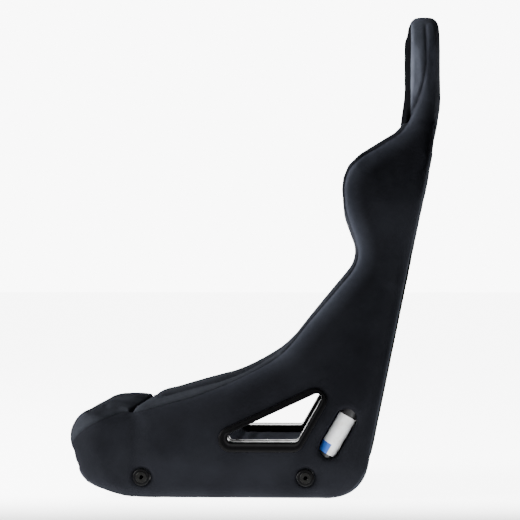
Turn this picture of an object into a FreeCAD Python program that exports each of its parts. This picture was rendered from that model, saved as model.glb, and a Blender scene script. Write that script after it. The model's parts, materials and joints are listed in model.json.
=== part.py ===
import FreeCAD, Part
import Sketcher
import math
import os

# Side-mount bucket seat: millimetres, +Z up, front towards -Y, the seat's left side at +X.
# The origin is the middle of the seat's footprint, on the plane that it stands on.

doc = FreeCAD.newDocument("RacingSeat")
sheet = doc.addObject("Spreadsheet::Sheet", "Sizes")

sizes = {
    # side mounting
    "mount_face_span": 432.0,
    "mount_spacing": 290.0,
    "mount_front_y": -194.0,
    "mount_height": 37.0,
    "thread_bore": 6.8,
    "bush_diameter": 20.0,
    "bush_chamfer": 0.8,
    "collar_diameter": 30.0,
    "collar_height": 3.4,
    "collar_chamfer": 1.4,
    # steel tubes
    "tube_diameter": 32.0,
    "tube_wall": 2.0,
    "tube_centres": 378.0,
    "cross_diameter": 25.0,
    "hoop_diameter": 22.0,
    "rail_diameter": 16.0,
    "thin_wall": 1.5,
    "weld_gap": 0.1,
    "seat_gap": 0.3,
    # route of a side tube
    "front_tube_y": -258.0,
    "front_tube_height": 96.0,
    "ramp_foot_y": -226.0,
    "ramp_bend": 36.0,
    "riser_foot_y": 108.0,
    "riser_angle": 60.0,
    "riser_bend": 45.0,
    "back_bend": 150.0,
    "back_lean": 11.5,
    "rear_foot_y": 195.7,
    "tube_setback": 30.0,
    "rear_cross_height": 58.0,
    "lumbar_cross_height": 235.0,
    "harness_cross_height": 560.0,
    # head hoop, thigh rails and shoulder hoops
    "hoop_leg_span": 224.0,
    "hoop_height": 276.0,
    "hoop_bend": 60.0,
    "hoop_lean": 7.0,
    "rail_centres": 368.0,
    "rail_foot_y": -176.0,
    "rail_front_height": 140.0,
    "rail_middle_y": 0.0,
    "rail_middle_height": 192.0,
    "rail_hip_y": 104.0,
    "rail_hip_height": 274.0,
    "rail_end_height": 334.0,
    "rail_bend": 40.0,
    "wing_hoop_height": 462.0,
    "wing_hoop_reach": 82.0,
    "wing_hoop_rise": 82.0,
    "wing_hoop_bend": 36.0,
    "wing_hoop_splay": 32.0,
    # elastic webbing
    "strap_width": 40.0,
    "strap_thickness": 2.5,
    "seat_strap_first_y": -82.0,
    "seat_strap_pitch": 48.0,
    "back_strap_first": 285.0,
    "back_strap_pitch": 113.0,
    "head_strap_first": 136.0,
    "head_strap_pitch": 58.0,
    # foam and cover, side view
    "bolster_front_y": -214.0,
    "bolster_front_height": 162.0,
    "bolster_front_round": 28.0,
    "hip_y": 21.0,
    "hip_height": 224.0,
    "hip_round": 280.0,
    "waist_y": 190.0,
    "waist_height": 428.0,
    "waist_round": 58.0,
    "shoulder_y": 141.0,
    "shoulder_height": 568.0,
    "shoulder_round": 76.0,
    "neck_y": 270.0,
    "neck_height": 668.0,
    "rear_foot_round": 65.0,
    # foam and cover, front view (half widths)
    "side_half_width": 212.0,
    "side_straight_height": 330.0,
    "side_straight_round": 500.0,
    "waist_half_width": 221.0,
    "waist_side_round": 150.0,
    "wing_half_width": 274.0,
    "wing_height": 532.0,
    "wing_round": 60.0,
    "wing_top_half_width": 268.0,
    "wing_top_height": 597.0,
    "wing_top_round": 32.0,
    "neck_half_width": 142.0,
    "inner_neck_half_width": 96.0,
    "cushion_half_width": 158.0,
    "inner_foot_height": 198.0,
    "inner_foot_round": 80.0,
    "inner_ridge_half_width": 172.0,
    "inner_ridge_height": 262.0,
    "inner_ridge_round": 100.0,
    "inner_waist_height": 425.0,
    "inner_waist_round": 150.0,
    "inner_wing_half_width": 213.0,
    "inner_wing_height": 520.0,
    "inner_wing_round": 80.0,
    "inner_top_half_width": 205.0,
    "inner_top_height": 590.0,
    "inner_top_round": 50.0,
    "ridge_round": 15.0,
    "inner_edge_round": 12.0,
    "rear_edge_round": 7.0,
    "waist_split_height": 430.0,
    "roll_rear_height": 159.0,
    "cushion_front_height": 163.0,
    # sewn panels
    "cover_thickness": 2.5,
    "cover_margin": 8.0,
    "seam_shift_y": 12.0,
    "seam_shift_down": 9.0,
    "rear_panel_thickness": 10.0,
    "rear_panel_inset": 22.0,
    "rear_panel_foot": 66.0,
    # front roll
    "nose_y": -335.0,
    "nose_height": 112.0,
    "nose_round": 40.0,
    "nose_sill_y": -304.0,
    "nose_sill_height": 26.0,
    "nose_sill_round": 60.0,
    "nose_crown_y": -300.0,
    "nose_crown_height": 161.0,
    "nose_crown_round": 60.0,
    "roll_half_width": 212.0,
    "roll_corner_round": 70.0,
    "roll_top_height": 163.0,
    "roll_crown_round": 32.0,
    # seat and back cushions
    "crest_y": -172.0,
    "crest_height": 158.0,
    "crest_round": 60.0,
    "seat_floor_y": -55.0,
    "seat_floor_height": 90.0,
    "seat_floor_round": 140.0,
    "back_pad_depth": 76.0,
    "back_pad_foot": 80.0,
    "chest_height": 480.0,
    "lumbar_swell": 12.0,
    "lumbar_height": 230.0,
    "lumbar_round": 300.0,
    "cushion_edge_round": 10.0,
    # head pad
    "head_front_y": 281.0,
    "head_swell_height": 740.0,
    "head_swell_round": 200.0,
    "head_chin_y": 272.5,
    "head_top_height": 868.0,
    "head_depth": 54.0,
    "head_crown_round": 22.0,
    "head_half_width": 142.0,
    "head_cheek_height": 708.0,
    "head_cheek_round": 40.0,
    "head_top_half_width": 135.0,
    "head_top_round": 62.0,
    "head_arch": 3.0,
    "head_seam_depth": 31.0,
    "head_seam_height": 752.0,
    "head_seam_round": 150.0,
    "head_seam_foot_y": 278.0,
    "head_seam_foot_height": 678.0,
    "head_rear_round": 300.0,
    "head_foot_half_width": 134.0,
    "head_edge_round": 11.0,
    # lap belt openings
    "lap_sill_height": 99.4,
    "lap_rear_y": 80.7,
    "lap_length": 151.0,
    "lap_top_angle": 25.0,
    "lap_rear_angle": 60.4,
    "lap_corner_round": 8.0,
    "lap_top_flange": 11.5,
    "lap_rear_flange": 12.5,
    "lap_sill_flange": 18.0,
    "lap_flange_round": 22.0,
    "guide_wall": 2.5,
    "guide_flange_thickness": 4.0,
    "guide_lip_round": 1.5,
    "lap_inner_flange": 11.5,
    # shoulder belt guides
    "harness_slot_centre": 58.0,
    "harness_slot_height": 596.0,
    "harness_slot_width": 62.0,
    "harness_slot_depth": 32.0,
    "harness_slot_round": 11.0,
    "slot_flange": 9.0,
    # crotch strap guide
    "crotch_slot_y": -136.0,
    "crotch_slot_width": 70.0,
    "crotch_slot_depth": 22.0,
    "crotch_slot_round": 8.0,
    # underside cloth
    "cloth_height": 5.0,
    "cloth_thickness": 2.0,
    # window in the left cover and the film on the tube behind it
    "window_length": 86.0,
    "window_width": 37.0,
    "window_height": 115.0,
    "window_round": 16.0,
    "film_height": 112.0,
    "film_length": 76.0,
    "film_thickness": 0.3,
    "film_gap": 0.2,
    "film_wrap": 200.0,
}

for row, (alias, value) in enumerate(sizes.items(), start=1):
    cell = "B%d" % row
    sheet.set("A%d" % row, alias.replace("_", " "))
    sheet.set(cell, str(value))
    sheet.setAlias(cell, alias)
doc.recompute()


class Size:
    """A length or ratio that knows both its number and the expression that gives it."""

    def __init__(self, value, text):
        self.value = value
        self.text = text

    def __add__(self, other):
        return combine(self, other, "+", lambda a, b: a + b)

    def __radd__(self, other):
        return combine(other, self, "+", lambda a, b: a + b)

    def __sub__(self, other):
        return combine(self, other, "-", lambda a, b: a - b)

    def __rsub__(self, other):
        return combine(other, self, "-", lambda a, b: a - b)

    def __mul__(self, other):
        return combine(self, other, "*", lambda a, b: a * b)

    def __rmul__(self, other):
        return combine(other, self, "*", lambda a, b: a * b)

    def __truediv__(self, other):
        return combine(self, other, "/", lambda a, b: a / b)

    def __neg__(self):
        return combine(0, self, "-", lambda a, b: a - b)


def as_size(thing):
    return thing if isinstance(thing, Size) else Size(float(thing), repr(float(thing)))


def combine(left, right, sign, work):
    left, right = as_size(left), as_size(right)
    return Size(work(left.value, right.value), "(%s %s %s)" % (left.text, sign, right.text))


def size(alias):
    return Size(float(sheet.get(alias)), "Sizes." + alias)


def sine(angle):
    return Size(math.sin(math.radians(angle.value)), "sin(%s * 1deg)" % angle.text)


def cosine(angle):
    return Size(math.cos(math.radians(angle.value)), "cos(%s * 1deg)" % angle.text)


def tangent(angle):
    return Size(math.tan(math.radians(angle.value)), "tan(%s * 1deg)" % angle.text)


def bind(thing, prop, amount):
    thing.setExpression(prop, as_size(amount).text)


def move(thing, x=0, y=0, z=0):
    """Place an object's origin by expressions; its rotation is left as it is."""
    for axis, amount in (("x", x), ("y", y), ("z", z)):
        bind(thing, "Placement.Base." + axis, amount)


def turn(thing, axis, angle):
    """Turn an object about one axis by an expression in degrees."""
    thing.Placement.Rotation = FreeCAD.Rotation(FreeCAD.Vector(*axis), as_size(angle).value)
    bind(thing, "Placement.Rotation.Angle", angle)


# Derived places that several pieces share

half_tubes = size("tube_centres") / 2
tube_radius = size("tube_diameter") / 2
lean = size("back_lean")
mount_face = size("mount_face_span") / 2
mount_rear_y = size("mount_front_y") + size("mount_spacing")
gap = size("seat_gap")
head_foot = size("neck_height") + gap


def back_y(height, depth=0):
    """Y of the rear face at a height, less a depth measured along Y."""
    return size("rear_foot_y") + as_size(height) * tangent(lean) - depth


# The riser is one straight line at its angle; the back tube is parallel to the rear face.
riser_slope = tangent(size("riser_angle"))
riser_top_height = (
    (size("rear_foot_y") - size("tube_setback") - size("riser_foot_y")) * riser_slope + size("mount_height")
) / (1 - tangent(lean) * riser_slope)


def riser_y(height):
    return size("riser_foot_y") + (as_size(height) - size("mount_height")) / riser_slope


def tube_y(height):
    """Y of the back tube's centre line at a height above the riser's top bend."""
    return back_y(height, size("tube_setback"))


# Sketches: straight runs with tangent arcs, every corner bound to the sheet

def arc_between(before, corner, after, radius):
    """Numbers of a fillet arc: centre and the two tangent points."""
    into = (before - corner).normalize()
    out = (after - corner).normalize()
    half_angle = into.getAngle(out) / 2
    reach = radius / math.tan(half_angle)
    centre = corner + (into + out).normalize() * (radius / math.sin(half_angle))
    return centre, corner + into * reach, corner + out * reach


def draw(sketch, corners, closed=True):
    """Rounded polyline through (x, y, radius) corners; a radius of None leaves the corner sharp."""
    points = [FreeCAD.Vector(as_size(c[0]).value, as_size(c[1]).value, 0) for c in corners]
    radii = [c[2] if len(c) > 2 else None for c in corners]
    count = len(points)
    starts, ends, arcs = list(points), list(points), {}
    for i in range(count):
        if radii[i] is not None:
            centre, into, out = arc_between(
                points[i - 1], points[i], points[(i + 1) % count], as_size(radii[i]).value
            )
            ends[i], starts[i] = into, out
            arcs[i] = (centre, into, out)
    runs = count if closed else count - 1
    lines = []
    for i in range(runs):
        lines.append(sketch.addGeometry(Part.LineSegment(starts[i], ends[(i + 1) % count]), False))
    rounds = {}
    for i, (centre, into, out) in arcs.items():
        first = math.atan2(into.y - centre.y, into.x - centre.x)
        last = math.atan2(out.y - centre.y, out.x - centre.x)
        left_turn = (points[i] - points[i - 1]).cross(points[(i + 1) % count] - points[i]).z > 0
        circle = Part.Circle(centre, FreeCAD.Vector(0, 0, 1), as_size(radii[i]).value)
        span = (first, last) if left_turn else (last, first)
        rounds[i] = (sketch.addGeometry(Part.ArcOfCircle(circle, *span), False), left_turn)
    return lines, rounds, points, radii, runs


def constrain(sketch, corners, drawn, closed=True):
    """Tie the drawn corners to their sizes."""
    lines, rounds, points, radii, runs = drawn
    count = len(points)
    for i in range(count):
        into = lines[i - 1] if (closed or i > 0) else None
        out = lines[i] if i < runs else None
        if i in rounds:
            arc, left_turn = rounds[i]
            sketch.addConstraint(Sketcher.Constraint("Tangent", into, 2, arc, 1 if left_turn else 2))
            sketch.addConstraint(Sketcher.Constraint("Tangent", out, 1, arc, 2 if left_turn else 1))
            number = sketch.addConstraint(Sketcher.Constraint("Radius", arc, as_size(radii[i]).value))
            bind(sketch, "Constraints[%d]" % number, radii[i])
            corner = (sketch.addGeometry(Part.Point(points[i]), True), 1)
            sketch.addConstraint(Sketcher.Constraint("PointOnObject", corner[0], 1, into))
            sketch.addConstraint(Sketcher.Constraint("PointOnObject", corner[0], 1, out))
        else:
            if into is not None and out is not None:
                sketch.addConstraint(Sketcher.Constraint("Coincident", into, 2, out, 1))
            corner = (out, 1) if out is not None else (into, 2)
        for kind, amount in (("DistanceX", corners[i][0]), ("DistanceY", corners[i][1])):
            amount = as_size(amount)
            number = sketch.addConstraint(Sketcher.Constraint(kind, -1, 1, corner[0], corner[1], amount.value))
            bind(sketch, "Constraints[%d]" % number, amount)


# Sketch planes: the sketch's own X and Y lie along these row axes
plane_turns = {
    "YZ": FreeCAD.Rotation(FreeCAD.Vector(1, 1, 1), 120),
    "XZ": FreeCAD.Rotation(FreeCAD.Vector(1, 0, 0), 90),
    "XY": FreeCAD.Rotation(),
}
sweep_reach = 500.0
parts = {}


def keep(label, thing):
    """Name a finished piece."""
    thing.Label = label
    parts[label] = thing
    return thing


def outline(label, plane, corners, holes=()):
    """A closed sketch of rounded corners in one of the row's planes, with round holes (x, y, diameter)."""
    sketch = doc.addObject("Sketcher::SketchObject", label)
    sketch.Placement = FreeCAD.Placement(FreeCAD.Vector(), plane_turns[plane])
    if corners:
        constrain(sketch, corners, draw(sketch, corners))
    for x, y, diameter in holes:
        add_circle(sketch, x, y, diameter)
    return sketch


def add_circle(sketch, x, y, diameter):
    x, y, diameter = as_size(x), as_size(y), as_size(diameter)
    circle = Part.Circle(FreeCAD.Vector(x.value, y.value, 0), FreeCAD.Vector(0, 0, 1), diameter.value / 2)
    number = sketch.addGeometry(circle, False)
    for kind, amount in (("DistanceX", x), ("DistanceY", y)):
        index = sketch.addConstraint(Sketcher.Constraint(kind, -1, 1, number, 3, amount.value))
        bind(sketch, "Constraints[%d]" % index, amount)
    index = sketch.addConstraint(Sketcher.Constraint("Diameter", number, diameter.value))
    bind(sketch, "Constraints[%d]" % index, diameter)


def prism(label, sketch, direction, forward, backward=0):
    """A sketch drawn out along a direction, both ways if asked."""
    solid = doc.addObject("Part::Extrusion", label)
    solid.Base = sketch
    solid.DirMode = "Custom"
    solid.Dir = FreeCAD.Vector(*direction)
    solid.Solid = True
    bind(solid, "LengthFwd", forward)
    bind(solid, "LengthRev", backward)
    return solid


def joined(label, kind, things):
    group = doc.addObject(kind, label)
    if kind == "Part::Compound":
        group.Links = things
    else:
        group.Shapes = things
    return group


def common(label, first, second):
    both = doc.addObject("Part::Common", label)
    both.Base = first
    both.Tool = second
    return both


def cut(label, base, tools):
    """A base less one tool or several, taken away one after another."""
    result = base
    for number, tool in enumerate(tools):
        step = doc.addObject("Part::Cut", "%s_cut_%d" % (label, number))
        step.Base = result
        step.Tool = tool
        result = step
    return result


def mirrored(label, source):
    twin = doc.addObject("Part::Mirroring", label)
    twin.Source = source
    twin.Normal = FreeCAD.Vector(1, 0, 0)
    twin.Base = FreeCAD.Vector(0, 0, 0)
    return twin


def both_sides(name, left):
    """Keep a left piece and its mirrored right twin."""
    keep("left_" + name, left)
    keep("right_" + name, mirrored("right_" + name, left))


def origin_plane(body, role):
    return [feature for feature in body.Origin.OriginFeatures if feature.Role == role][0]


def tube(label, plane, corners, diameter, wall=None):
    """A bent tube, or a solid rod where no wall is given, along a route in a plane of its own body."""
    body = doc.addObject("PartDesign::Body", label)
    route = body.newObject("Sketcher::SketchObject", label + "_route")
    route.AttachmentSupport = [(origin_plane(body, plane + "_Plane"), "")]
    route.MapMode = "FlatFace"
    constrain(route, corners, draw(route, corners, closed=False), closed=False)
    doc.recompute()
    section = body.newObject("Sketcher::SketchObject", label + "_section")
    section.AttachmentSupport = [(route, "Edge1")]
    section.MapMode = "NormalToEdge"
    add_circle(section, 0, 0, diameter)
    if wall is not None:
        add_circle(section, 0, 0, diameter - 2 * wall)
    pipe = body.newObject("PartDesign::AdditivePipe", label + "_pipe")
    pipe.Profile = section
    pipe.Spine = (route, [])
    pipe.Transition = "Transformed"
    return body


def cylinder(label, axis, start, length, diameter):
    """A straight rod along a row axis from its start point."""
    rod = doc.addObject("Part::Cylinder", label)
    turns = {"X": ((0, 1, 0), 90), "Y": ((1, 0, 0), -90), "Z": ((0, 0, 1), 0)}
    rod.Placement.Rotation = FreeCAD.Rotation(FreeCAD.Vector(*turns[axis][0]), turns[axis][1])
    bind(rod, "Radius", diameter / 2)
    bind(rod, "Height", length)
    move(rod, *start)
    return rod


# Steel tubes. The rod of each route, a little fatter, is the tool for the joints and the foam's channels.

side_route = [
    (size("front_tube_y"), size("front_tube_height")),
    (size("ramp_foot_y"), size("mount_height"), size("ramp_bend")),
    (size("riser_foot_y"), size("mount_height"), size("riser_bend")),
    (riser_y(riser_top_height), riser_top_height, size("back_bend")),
    (tube_y(size("harness_cross_height")), size("harness_cross_height")),
]


def shifted_body(body, x):
    move(body, x=x)
    return body


def side_rod(label, clearance):
    return shifted_body(tube(label, "YZ", side_route, size("tube_diameter") + 2 * clearance), half_tubes)


def cross_tube(label, y, height, length, diameter=size("cross_diameter")):
    """A straight tube across the seat."""
    start = (-length / 2, y, height)
    outer = cylinder(label + "_outer", "X", start, length, diameter)
    inner = cylinder(label + "_bore", "X", start, length, diameter - 2 * size("tube_wall"))
    return cut(label, outer, [inner])


def cross_rod(label, y, height, clearance):
    length = size("tube_centres") + size("tube_diameter")
    return cylinder(label, "X", (-length / 2, y, height), length, size("cross_diameter") + 2 * clearance)


def bush_rod(label, y, start, clearance):
    return cylinder(
        label, "X", (start, y, size("mount_height")), mount_face - start + clearance,
        size("bush_diameter") + 2 * clearance,
    )


weld = size("weld_gap")
mounts_y = {"front": size("mount_front_y"), "rear": mount_rear_y}
crosses = {
    "front": (size("front_tube_y"), size("front_tube_height")),
    "rear": (riser_y(size("rear_cross_height")), size("rear_cross_height")),
    "lumbar": (tube_y(size("lumbar_cross_height")), size("lumbar_cross_height")),
    "harness": (tube_y(size("harness_cross_height")), size("harness_cross_height")),
}

left_tube = shifted_body(tube("side_tube_blank", "YZ", side_route, size("tube_diameter"), size("tube_wall")), half_tubes)
weld_rod = side_rod("side_weld_rod", weld)
weld_rods = [weld_rod, mirrored("side_weld_rod_right", weld_rod)]
bush_start = half_tubes - size("bush_diameter") / 2
tube_tools = [bush_rod("bush_hole_" + name, y, bush_start - weld, weld) for name, y in mounts_y.items()]
tube_tools.append(cross_rod("harness_weld_rod", *crosses["harness"], weld))
both_sides("side_tube", cut("side_tube", left_tube, tube_tools))

for name, (y, height) in crosses.items():
    label = name + "_cross_tube"
    if name == "harness":
        # the harness tube runs over the ends of both side tubes
        keep(label, cross_tube(label, y, height, size("tube_centres") + size("tube_diameter")))
    else:
        keep(label, cut(label + "_ends", cross_tube(label, y, height, size("tube_centres")), weld_rods))

hoop_half = size("hoop_leg_span") / 2
hoop_route = [
    (-hoop_half, 0),
    (-hoop_half, size("hoop_height"), size("hoop_bend")),
    (hoop_half, size("hoop_height"), size("hoop_bend")),
    (hoop_half, 0),
]


def head_hoop(label, diameter, wall=None):
    hoop = tube(label, "XZ", hoop_route, diameter, wall)
    turn(hoop, (-1, 0, 0), size("hoop_lean"))
    move(hoop, y=crosses["harness"][0], z=crosses["harness"][1])
    return hoop


hoop_tool = cross_rod("hoop_weld_rod", *crosses["harness"], weld)
hoop_blank = head_hoop("head_hoop_blank", size("hoop_diameter"), size("thin_wall"))
keep("head_hoop", cut("head_hoop", hoop_blank, [hoop_tool]))

rail_route = [
    (size("rail_foot_y"), size("mount_height")),
    (size("rail_foot_y"), size("rail_front_height"), size("rail_bend")),
    (size("rail_middle_y"), size("rail_middle_height"), size("rail_bend")),
    (size("rail_hip_y"), size("rail_hip_height"), size("rail_bend")),
    (tube_y(size("rail_end_height")), size("rail_end_height")),
]


def thigh_rail(label, diameter, wall=None):
    return shifted_body(tube(label, "YZ", rail_route, diameter, wall), size("rail_centres") / 2)


rail_blank = thigh_rail("thigh_rail_blank", size("rail_diameter"), size("thin_wall"))
both_sides("thigh_rail", cut("thigh_rail", rail_blank, [weld_rod]))

wing_route = [
    (0, 0),
    (size("wing_hoop_reach"), 0, size("wing_hoop_bend")),
    (size("wing_hoop_reach"), size("wing_hoop_rise"), size("wing_hoop_bend")),
    (0, size("wing_hoop_rise")),
]


def wing_hoop(label, diameter, wall=None):
    """The hoop stands in an upright plane that splays out from the back tube towards the front."""
    hoop = tube(label, "XZ", wing_route, diameter, wall)
    splay = 90 - size("wing_hoop_splay")
    turn(hoop, (0, 0, -1), splay)
    move(hoop, half_tubes, tube_y(size("wing_hoop_height")), size("wing_hoop_height"))
    return hoop


wing_blank = wing_hoop("shoulder_hoop_blank", size("rail_diameter"), size("thin_wall"))
both_sides("shoulder_hoop", cut("shoulder_hoop", wing_blank, [weld_rod]))


# Threaded bushes and their collars

def ring(label, corners, y, height):
    """A body turned about a line along X through (y, height)."""
    body = doc.addObject("PartDesign::Body", label)
    profile = body.newObject("Sketcher::SketchObject", label + "_profile")
    profile.AttachmentSupport = [(origin_plane(body, "XZ_Plane"), "")]
    profile.MapMode = "FlatFace"
    constrain(profile, corners, draw(profile, corners))
    turned = body.newObject("PartDesign::Revolution", label + "_turned")
    turned.Profile = profile
    turned.ReferenceAxis = (profile, ["H_Axis"])
    turned.Angle = 360
    move(body, y=y, z=height)
    return body


bore_radius = size("thread_bore") / 2
bush_radius = size("bush_diameter") / 2
chamfer = size("bush_chamfer")
bush_corners = [
    (bush_start, bore_radius),
    (mount_face - chamfer, bore_radius),
    (mount_face, bore_radius + chamfer),
    (mount_face, bush_radius - chamfer),
    (mount_face - chamfer, bush_radius),
    (bush_start, bush_radius),
]
collar_face = size("side_half_width") + size("collar_height")
collar_radius = size("collar_diameter") / 2
collar_corners = [
    (size("side_half_width"), bush_radius + gap),
    (collar_face, bush_radius + gap),
    (collar_face, collar_radius - size("collar_chamfer")),
    (collar_face - size("collar_chamfer"), collar_radius),
    (size("side_half_width"), collar_radius),
]
for name, y in mounts_y.items():
    bush = ring("%s_left_bush" % name, bush_corners, y, size("mount_height"))
    collar = ring("%s_left_collar" % name, collar_corners, y, size("mount_height"))
    for piece, solid in (("bush", bush), ("collar", collar)):
        keep("%s_left_%s" % (name, piece), solid)
        keep("%s_right_%s" % (name, piece), mirrored("%s_right_%s" % (name, piece), solid))


# Elastic webbing: flat bands looped round a pair of tubes

def band(label, y, height, tilt, centres, diameter, clearance):
    """One band across the seat; tilt turns its width from level towards upright."""
    across, thickness = size("strap_width") + 2 * clearance, size("strap_thickness") + 2 * clearance
    along_y, along_z = cosine(tilt), sine(tilt)
    web = doc.addObject("Part::Box", label + "_web")
    turn(web, (1, 0, 0), tilt)
    bind(web, "Length", centres)
    bind(web, "Width", across)
    bind(web, "Height", thickness)
    edge_y = y - along_y * across / 2
    edge_z = height - along_z * across / 2
    move(web, -centres / 2, edge_y + along_z * thickness / 2, edge_z - along_y * thickness / 2)
    loops, holes = [], []
    for side, sign in (("right", -1), ("left", 1)):
        for group, radius in (
            (loops, diameter / 2 + gap + size("strap_thickness") + clearance),
            (holes, diameter / 2 + gap - clearance),
        ):
            loop = doc.addObject("Part::Cylinder", "%s_loop_%s_%d" % (label, side, len(group)))
            turn(loop, (1, 0, 0), tilt - 90)
            bind(loop, "Radius", radius)
            bind(loop, "Height", across)
            move(loop, sign * centres / 2, edge_y, edge_z)
            group.append(loop)
    whole = joined(label + "_whole", "Part::MultiFuse", [web] + loops)
    return cut(label, whole, holes) if clearance == 0 else whole


def webbing(label, places, tilt, centres, diameter, clearance=0):
    bands = [
        band("%s_%d" % (label, number), y, height, tilt, centres, diameter, as_size(clearance) if clearance else 0)
        for number, (y, height) in enumerate(places)
    ]
    return joined(label, "Part::Compound", bands)


seat_places = [
    (size("seat_strap_first_y") + number * size("seat_strap_pitch"), size("mount_height"))
    for number in range(4)
]
back_heights = [size("back_strap_first") + number * size("back_strap_pitch") for number in range(3)]
back_places = [(tube_y(height), height) for height in back_heights]
hoop_steps = [size("head_strap_first") + number * size("head_strap_pitch") for number in range(2)]
head_places = [
    (crosses["harness"][0] + step * sine(size("hoop_lean")), crosses["harness"][1] + step * cosine(size("hoop_lean")))
    for step in hoop_steps
]
level = Size(0.0, "0")
webs = {
    "seat": (seat_places, level, size("tube_centres"), size("tube_diameter")),
    "back": (back_places, 90 - lean, size("tube_centres"), size("tube_diameter")),
    "head": (head_places, 90 - size("hoop_lean"), size("hoop_leg_span"), size("hoop_diameter")),
}
for name, web in webs.items():
    keep(name + "_webbing", webbing(name + "_webbing", *web))


# Everything that the foam makes room for, each a little fatter than the piece itself

channels = {
    "side": side_rod("side_channel", gap),
    "rail": thigh_rail("rail_channel", size("rail_diameter") + 2 * gap),
    "wing": wing_hoop("wing_channel", size("rail_diameter") + 2 * gap),
    "hoop": head_hoop("hoop_channel", size("hoop_diameter") + 2 * gap),
}
for name, (y, height) in crosses.items():
    channels[name + "_cross"] = cross_rod(name + "_channel", y, height, gap)
for name, y in mounts_y.items():
    channels[name + "_bush"] = bush_rod(name + "_bush_channel", y, half_tubes, gap)
for name, web in webs.items():
    channels[name + "_webbing"] = webbing(name + "_web_channel", *web, clearance=gap)
for name in ("side", "rail", "wing"):
    channels[name + "_right"] = mirrored(name + "_channel_right", channels[name])


# Outlines of the foam in side view (y, z) and in front view (x, z)

def side_outline():
    """The bolster seen from the side: thigh ridge, waist, shoulder, neck, rear face."""
    return [
        (size("bolster_front_y"), 0),
        (size("bolster_front_y"), size("bolster_front_height"), size("bolster_front_round")),
        (size("hip_y"), size("hip_height"), size("hip_round")),
        (size("waist_y"), size("waist_height"), size("waist_round")),
        (size("shoulder_y"), size("shoulder_height"), size("shoulder_round")),
        (size("neck_y"), size("neck_height")),
        (back_y(size("neck_height")), size("neck_height")),
        (size("rear_foot_y"), 0, size("rear_foot_round")),
    ]


def outer_line(inset=0):
    """Half width of the whole seat from the floor to the neck, less an inset."""
    return [
        (size("side_half_width") - inset, size("side_straight_height"), size("side_straight_round")),
        (size("waist_half_width") - inset, size("waist_height"), size("waist_side_round")),
        (size("wing_half_width") - inset, size("wing_height"), size("wing_round")),
        (size("wing_top_half_width") - inset, size("wing_top_height") - inset, size("wing_top_round")),
    ]


def inner_line(clearance=0):
    """Half width of the hollow between the bolsters, less a clearance."""
    return [
        (size("cushion_half_width") - clearance, size("inner_foot_height"), size("inner_foot_round")),
        (size("inner_ridge_half_width") - clearance, size("inner_ridge_height"), size("inner_ridge_round")),
        (size("inner_ridge_half_width") - clearance, size("inner_waist_height"), size("inner_waist_round")),
        (size("inner_wing_half_width") - clearance, size("inner_wing_height"), size("inner_wing_round")),
        (
            size("inner_top_half_width") - clearance,
            size("inner_top_height") - clearance,
            size("inner_top_round"),
        ),
    ]


def flipped(corners):
    """The same corners at the right side, in the opposite order."""
    return [(-c[0],) + tuple(c[1:]) for c in reversed(corners)]


below = -sweep_reach
bolster_band = (
    [(size("side_half_width"), below)]
    + outer_line()
    + [(size("neck_half_width"), head_foot), (size("inner_neck_half_width"), head_foot)]
    + inner_line()[::-1]
    + [(size("cushion_half_width"), below)]
)


def skin_band(depth):
    """Everything that lies within a depth of the outer line, in front view."""
    edge = outer_line(depth)[:3] + [(size("wing_top_half_width") - depth, head_foot)]
    return [(size("side_half_width") - depth, below)] + edge + [(sweep_reach, head_foot), (sweep_reach, below)]


def panel_outline(grow):
    """The side panel of the cover: its seam runs a little inside the bolster's own outline."""
    front = [
        (size("bolster_front_y") + size("cover_margin") - grow, size("cover_margin") - grow),
        (size("bolster_front_y") + size("cover_margin") - grow, size("bolster_front_height") - size("seam_shift_down") + grow, size("bolster_front_round")),
    ]
    ridge = [
        (c[0] + size("seam_shift_y") - grow, c[1] - size("seam_shift_down") + grow) + c[2:]
        for c in side_outline()[2:6]
    ]
    margin = size("cover_margin") - grow
    top = size("neck_height") - size("seam_shift_down") + grow
    rear = [
        (back_y(top, margin), top),
        (size("rear_foot_y") - margin, margin, size("rear_foot_round")),
    ]
    return front + ridge + rear

def across(label, corners, start, length):
    """A side-view outline drawn out towards the left from x = start."""
    solid = prism(label, outline(label + "_side", "YZ", corners), (1, 0, 0), length)
    move(solid.Base, x=start)
    return solid


def both_ways(label, corners, half_length):
    """A side-view outline drawn out to both sides of the middle."""
    return prism(label, outline(label + "_side", "YZ", corners), (1, 0, 0), half_length, half_length)


def along(label, corners):
    """A front-view outline drawn out through the whole depth of the seat."""
    return prism(label, outline(label + "_front", "XZ", corners), (0, 1, 0), sweep_reach, sweep_reach)


def rounded(label, base, pick, radius):
    """Round the edges of a solid that a test picks."""
    doc.recompute()
    numbers = [n for n, edge in enumerate(base.Shape.Edges, start=1) if pick(edge)]
    solid = doc.addObject("Part::Fillet", label)
    solid.Base = base
    solid.Edges = [(n, radius.value, radius.value) for n in numbers]
    return solid


def middle(edge):
    return edge.valueAt((edge.FirstParameter + edge.LastParameter) / 2)


def runs_across(edge):
    """True for an edge that runs along X."""
    first, last = edge.Vertexes[0].Point, edge.Vertexes[-1].Point
    return abs(last.x - first.x) > 0.9 * edge.Length


def on_outline(edge, sketch):
    point = middle(edge)
    flat = Part.Vertex(sketch.Placement.Base.x, point.y, point.z)
    return sketch.Shape.distToShape(flat)[0] < 0.01


# Bolsters: the side outline drawn across, held within the front view's band, then rounded along the ridge

hollow = inner_line(gap) + [(size("inner_neck_half_width"), size("neck_height"))]
hollow = [(size("cushion_half_width") - gap, 0)] + hollow
hollow_front = outline("hollow_front", "XZ", hollow + flipped(hollow))
bolster_sweep = across("bolster_sweep", side_outline(), size("cushion_half_width") / 2, size("wing_half_width"))
bolster_square = common("bolster_square", bolster_sweep, along("bolster_band", bolster_band))


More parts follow.
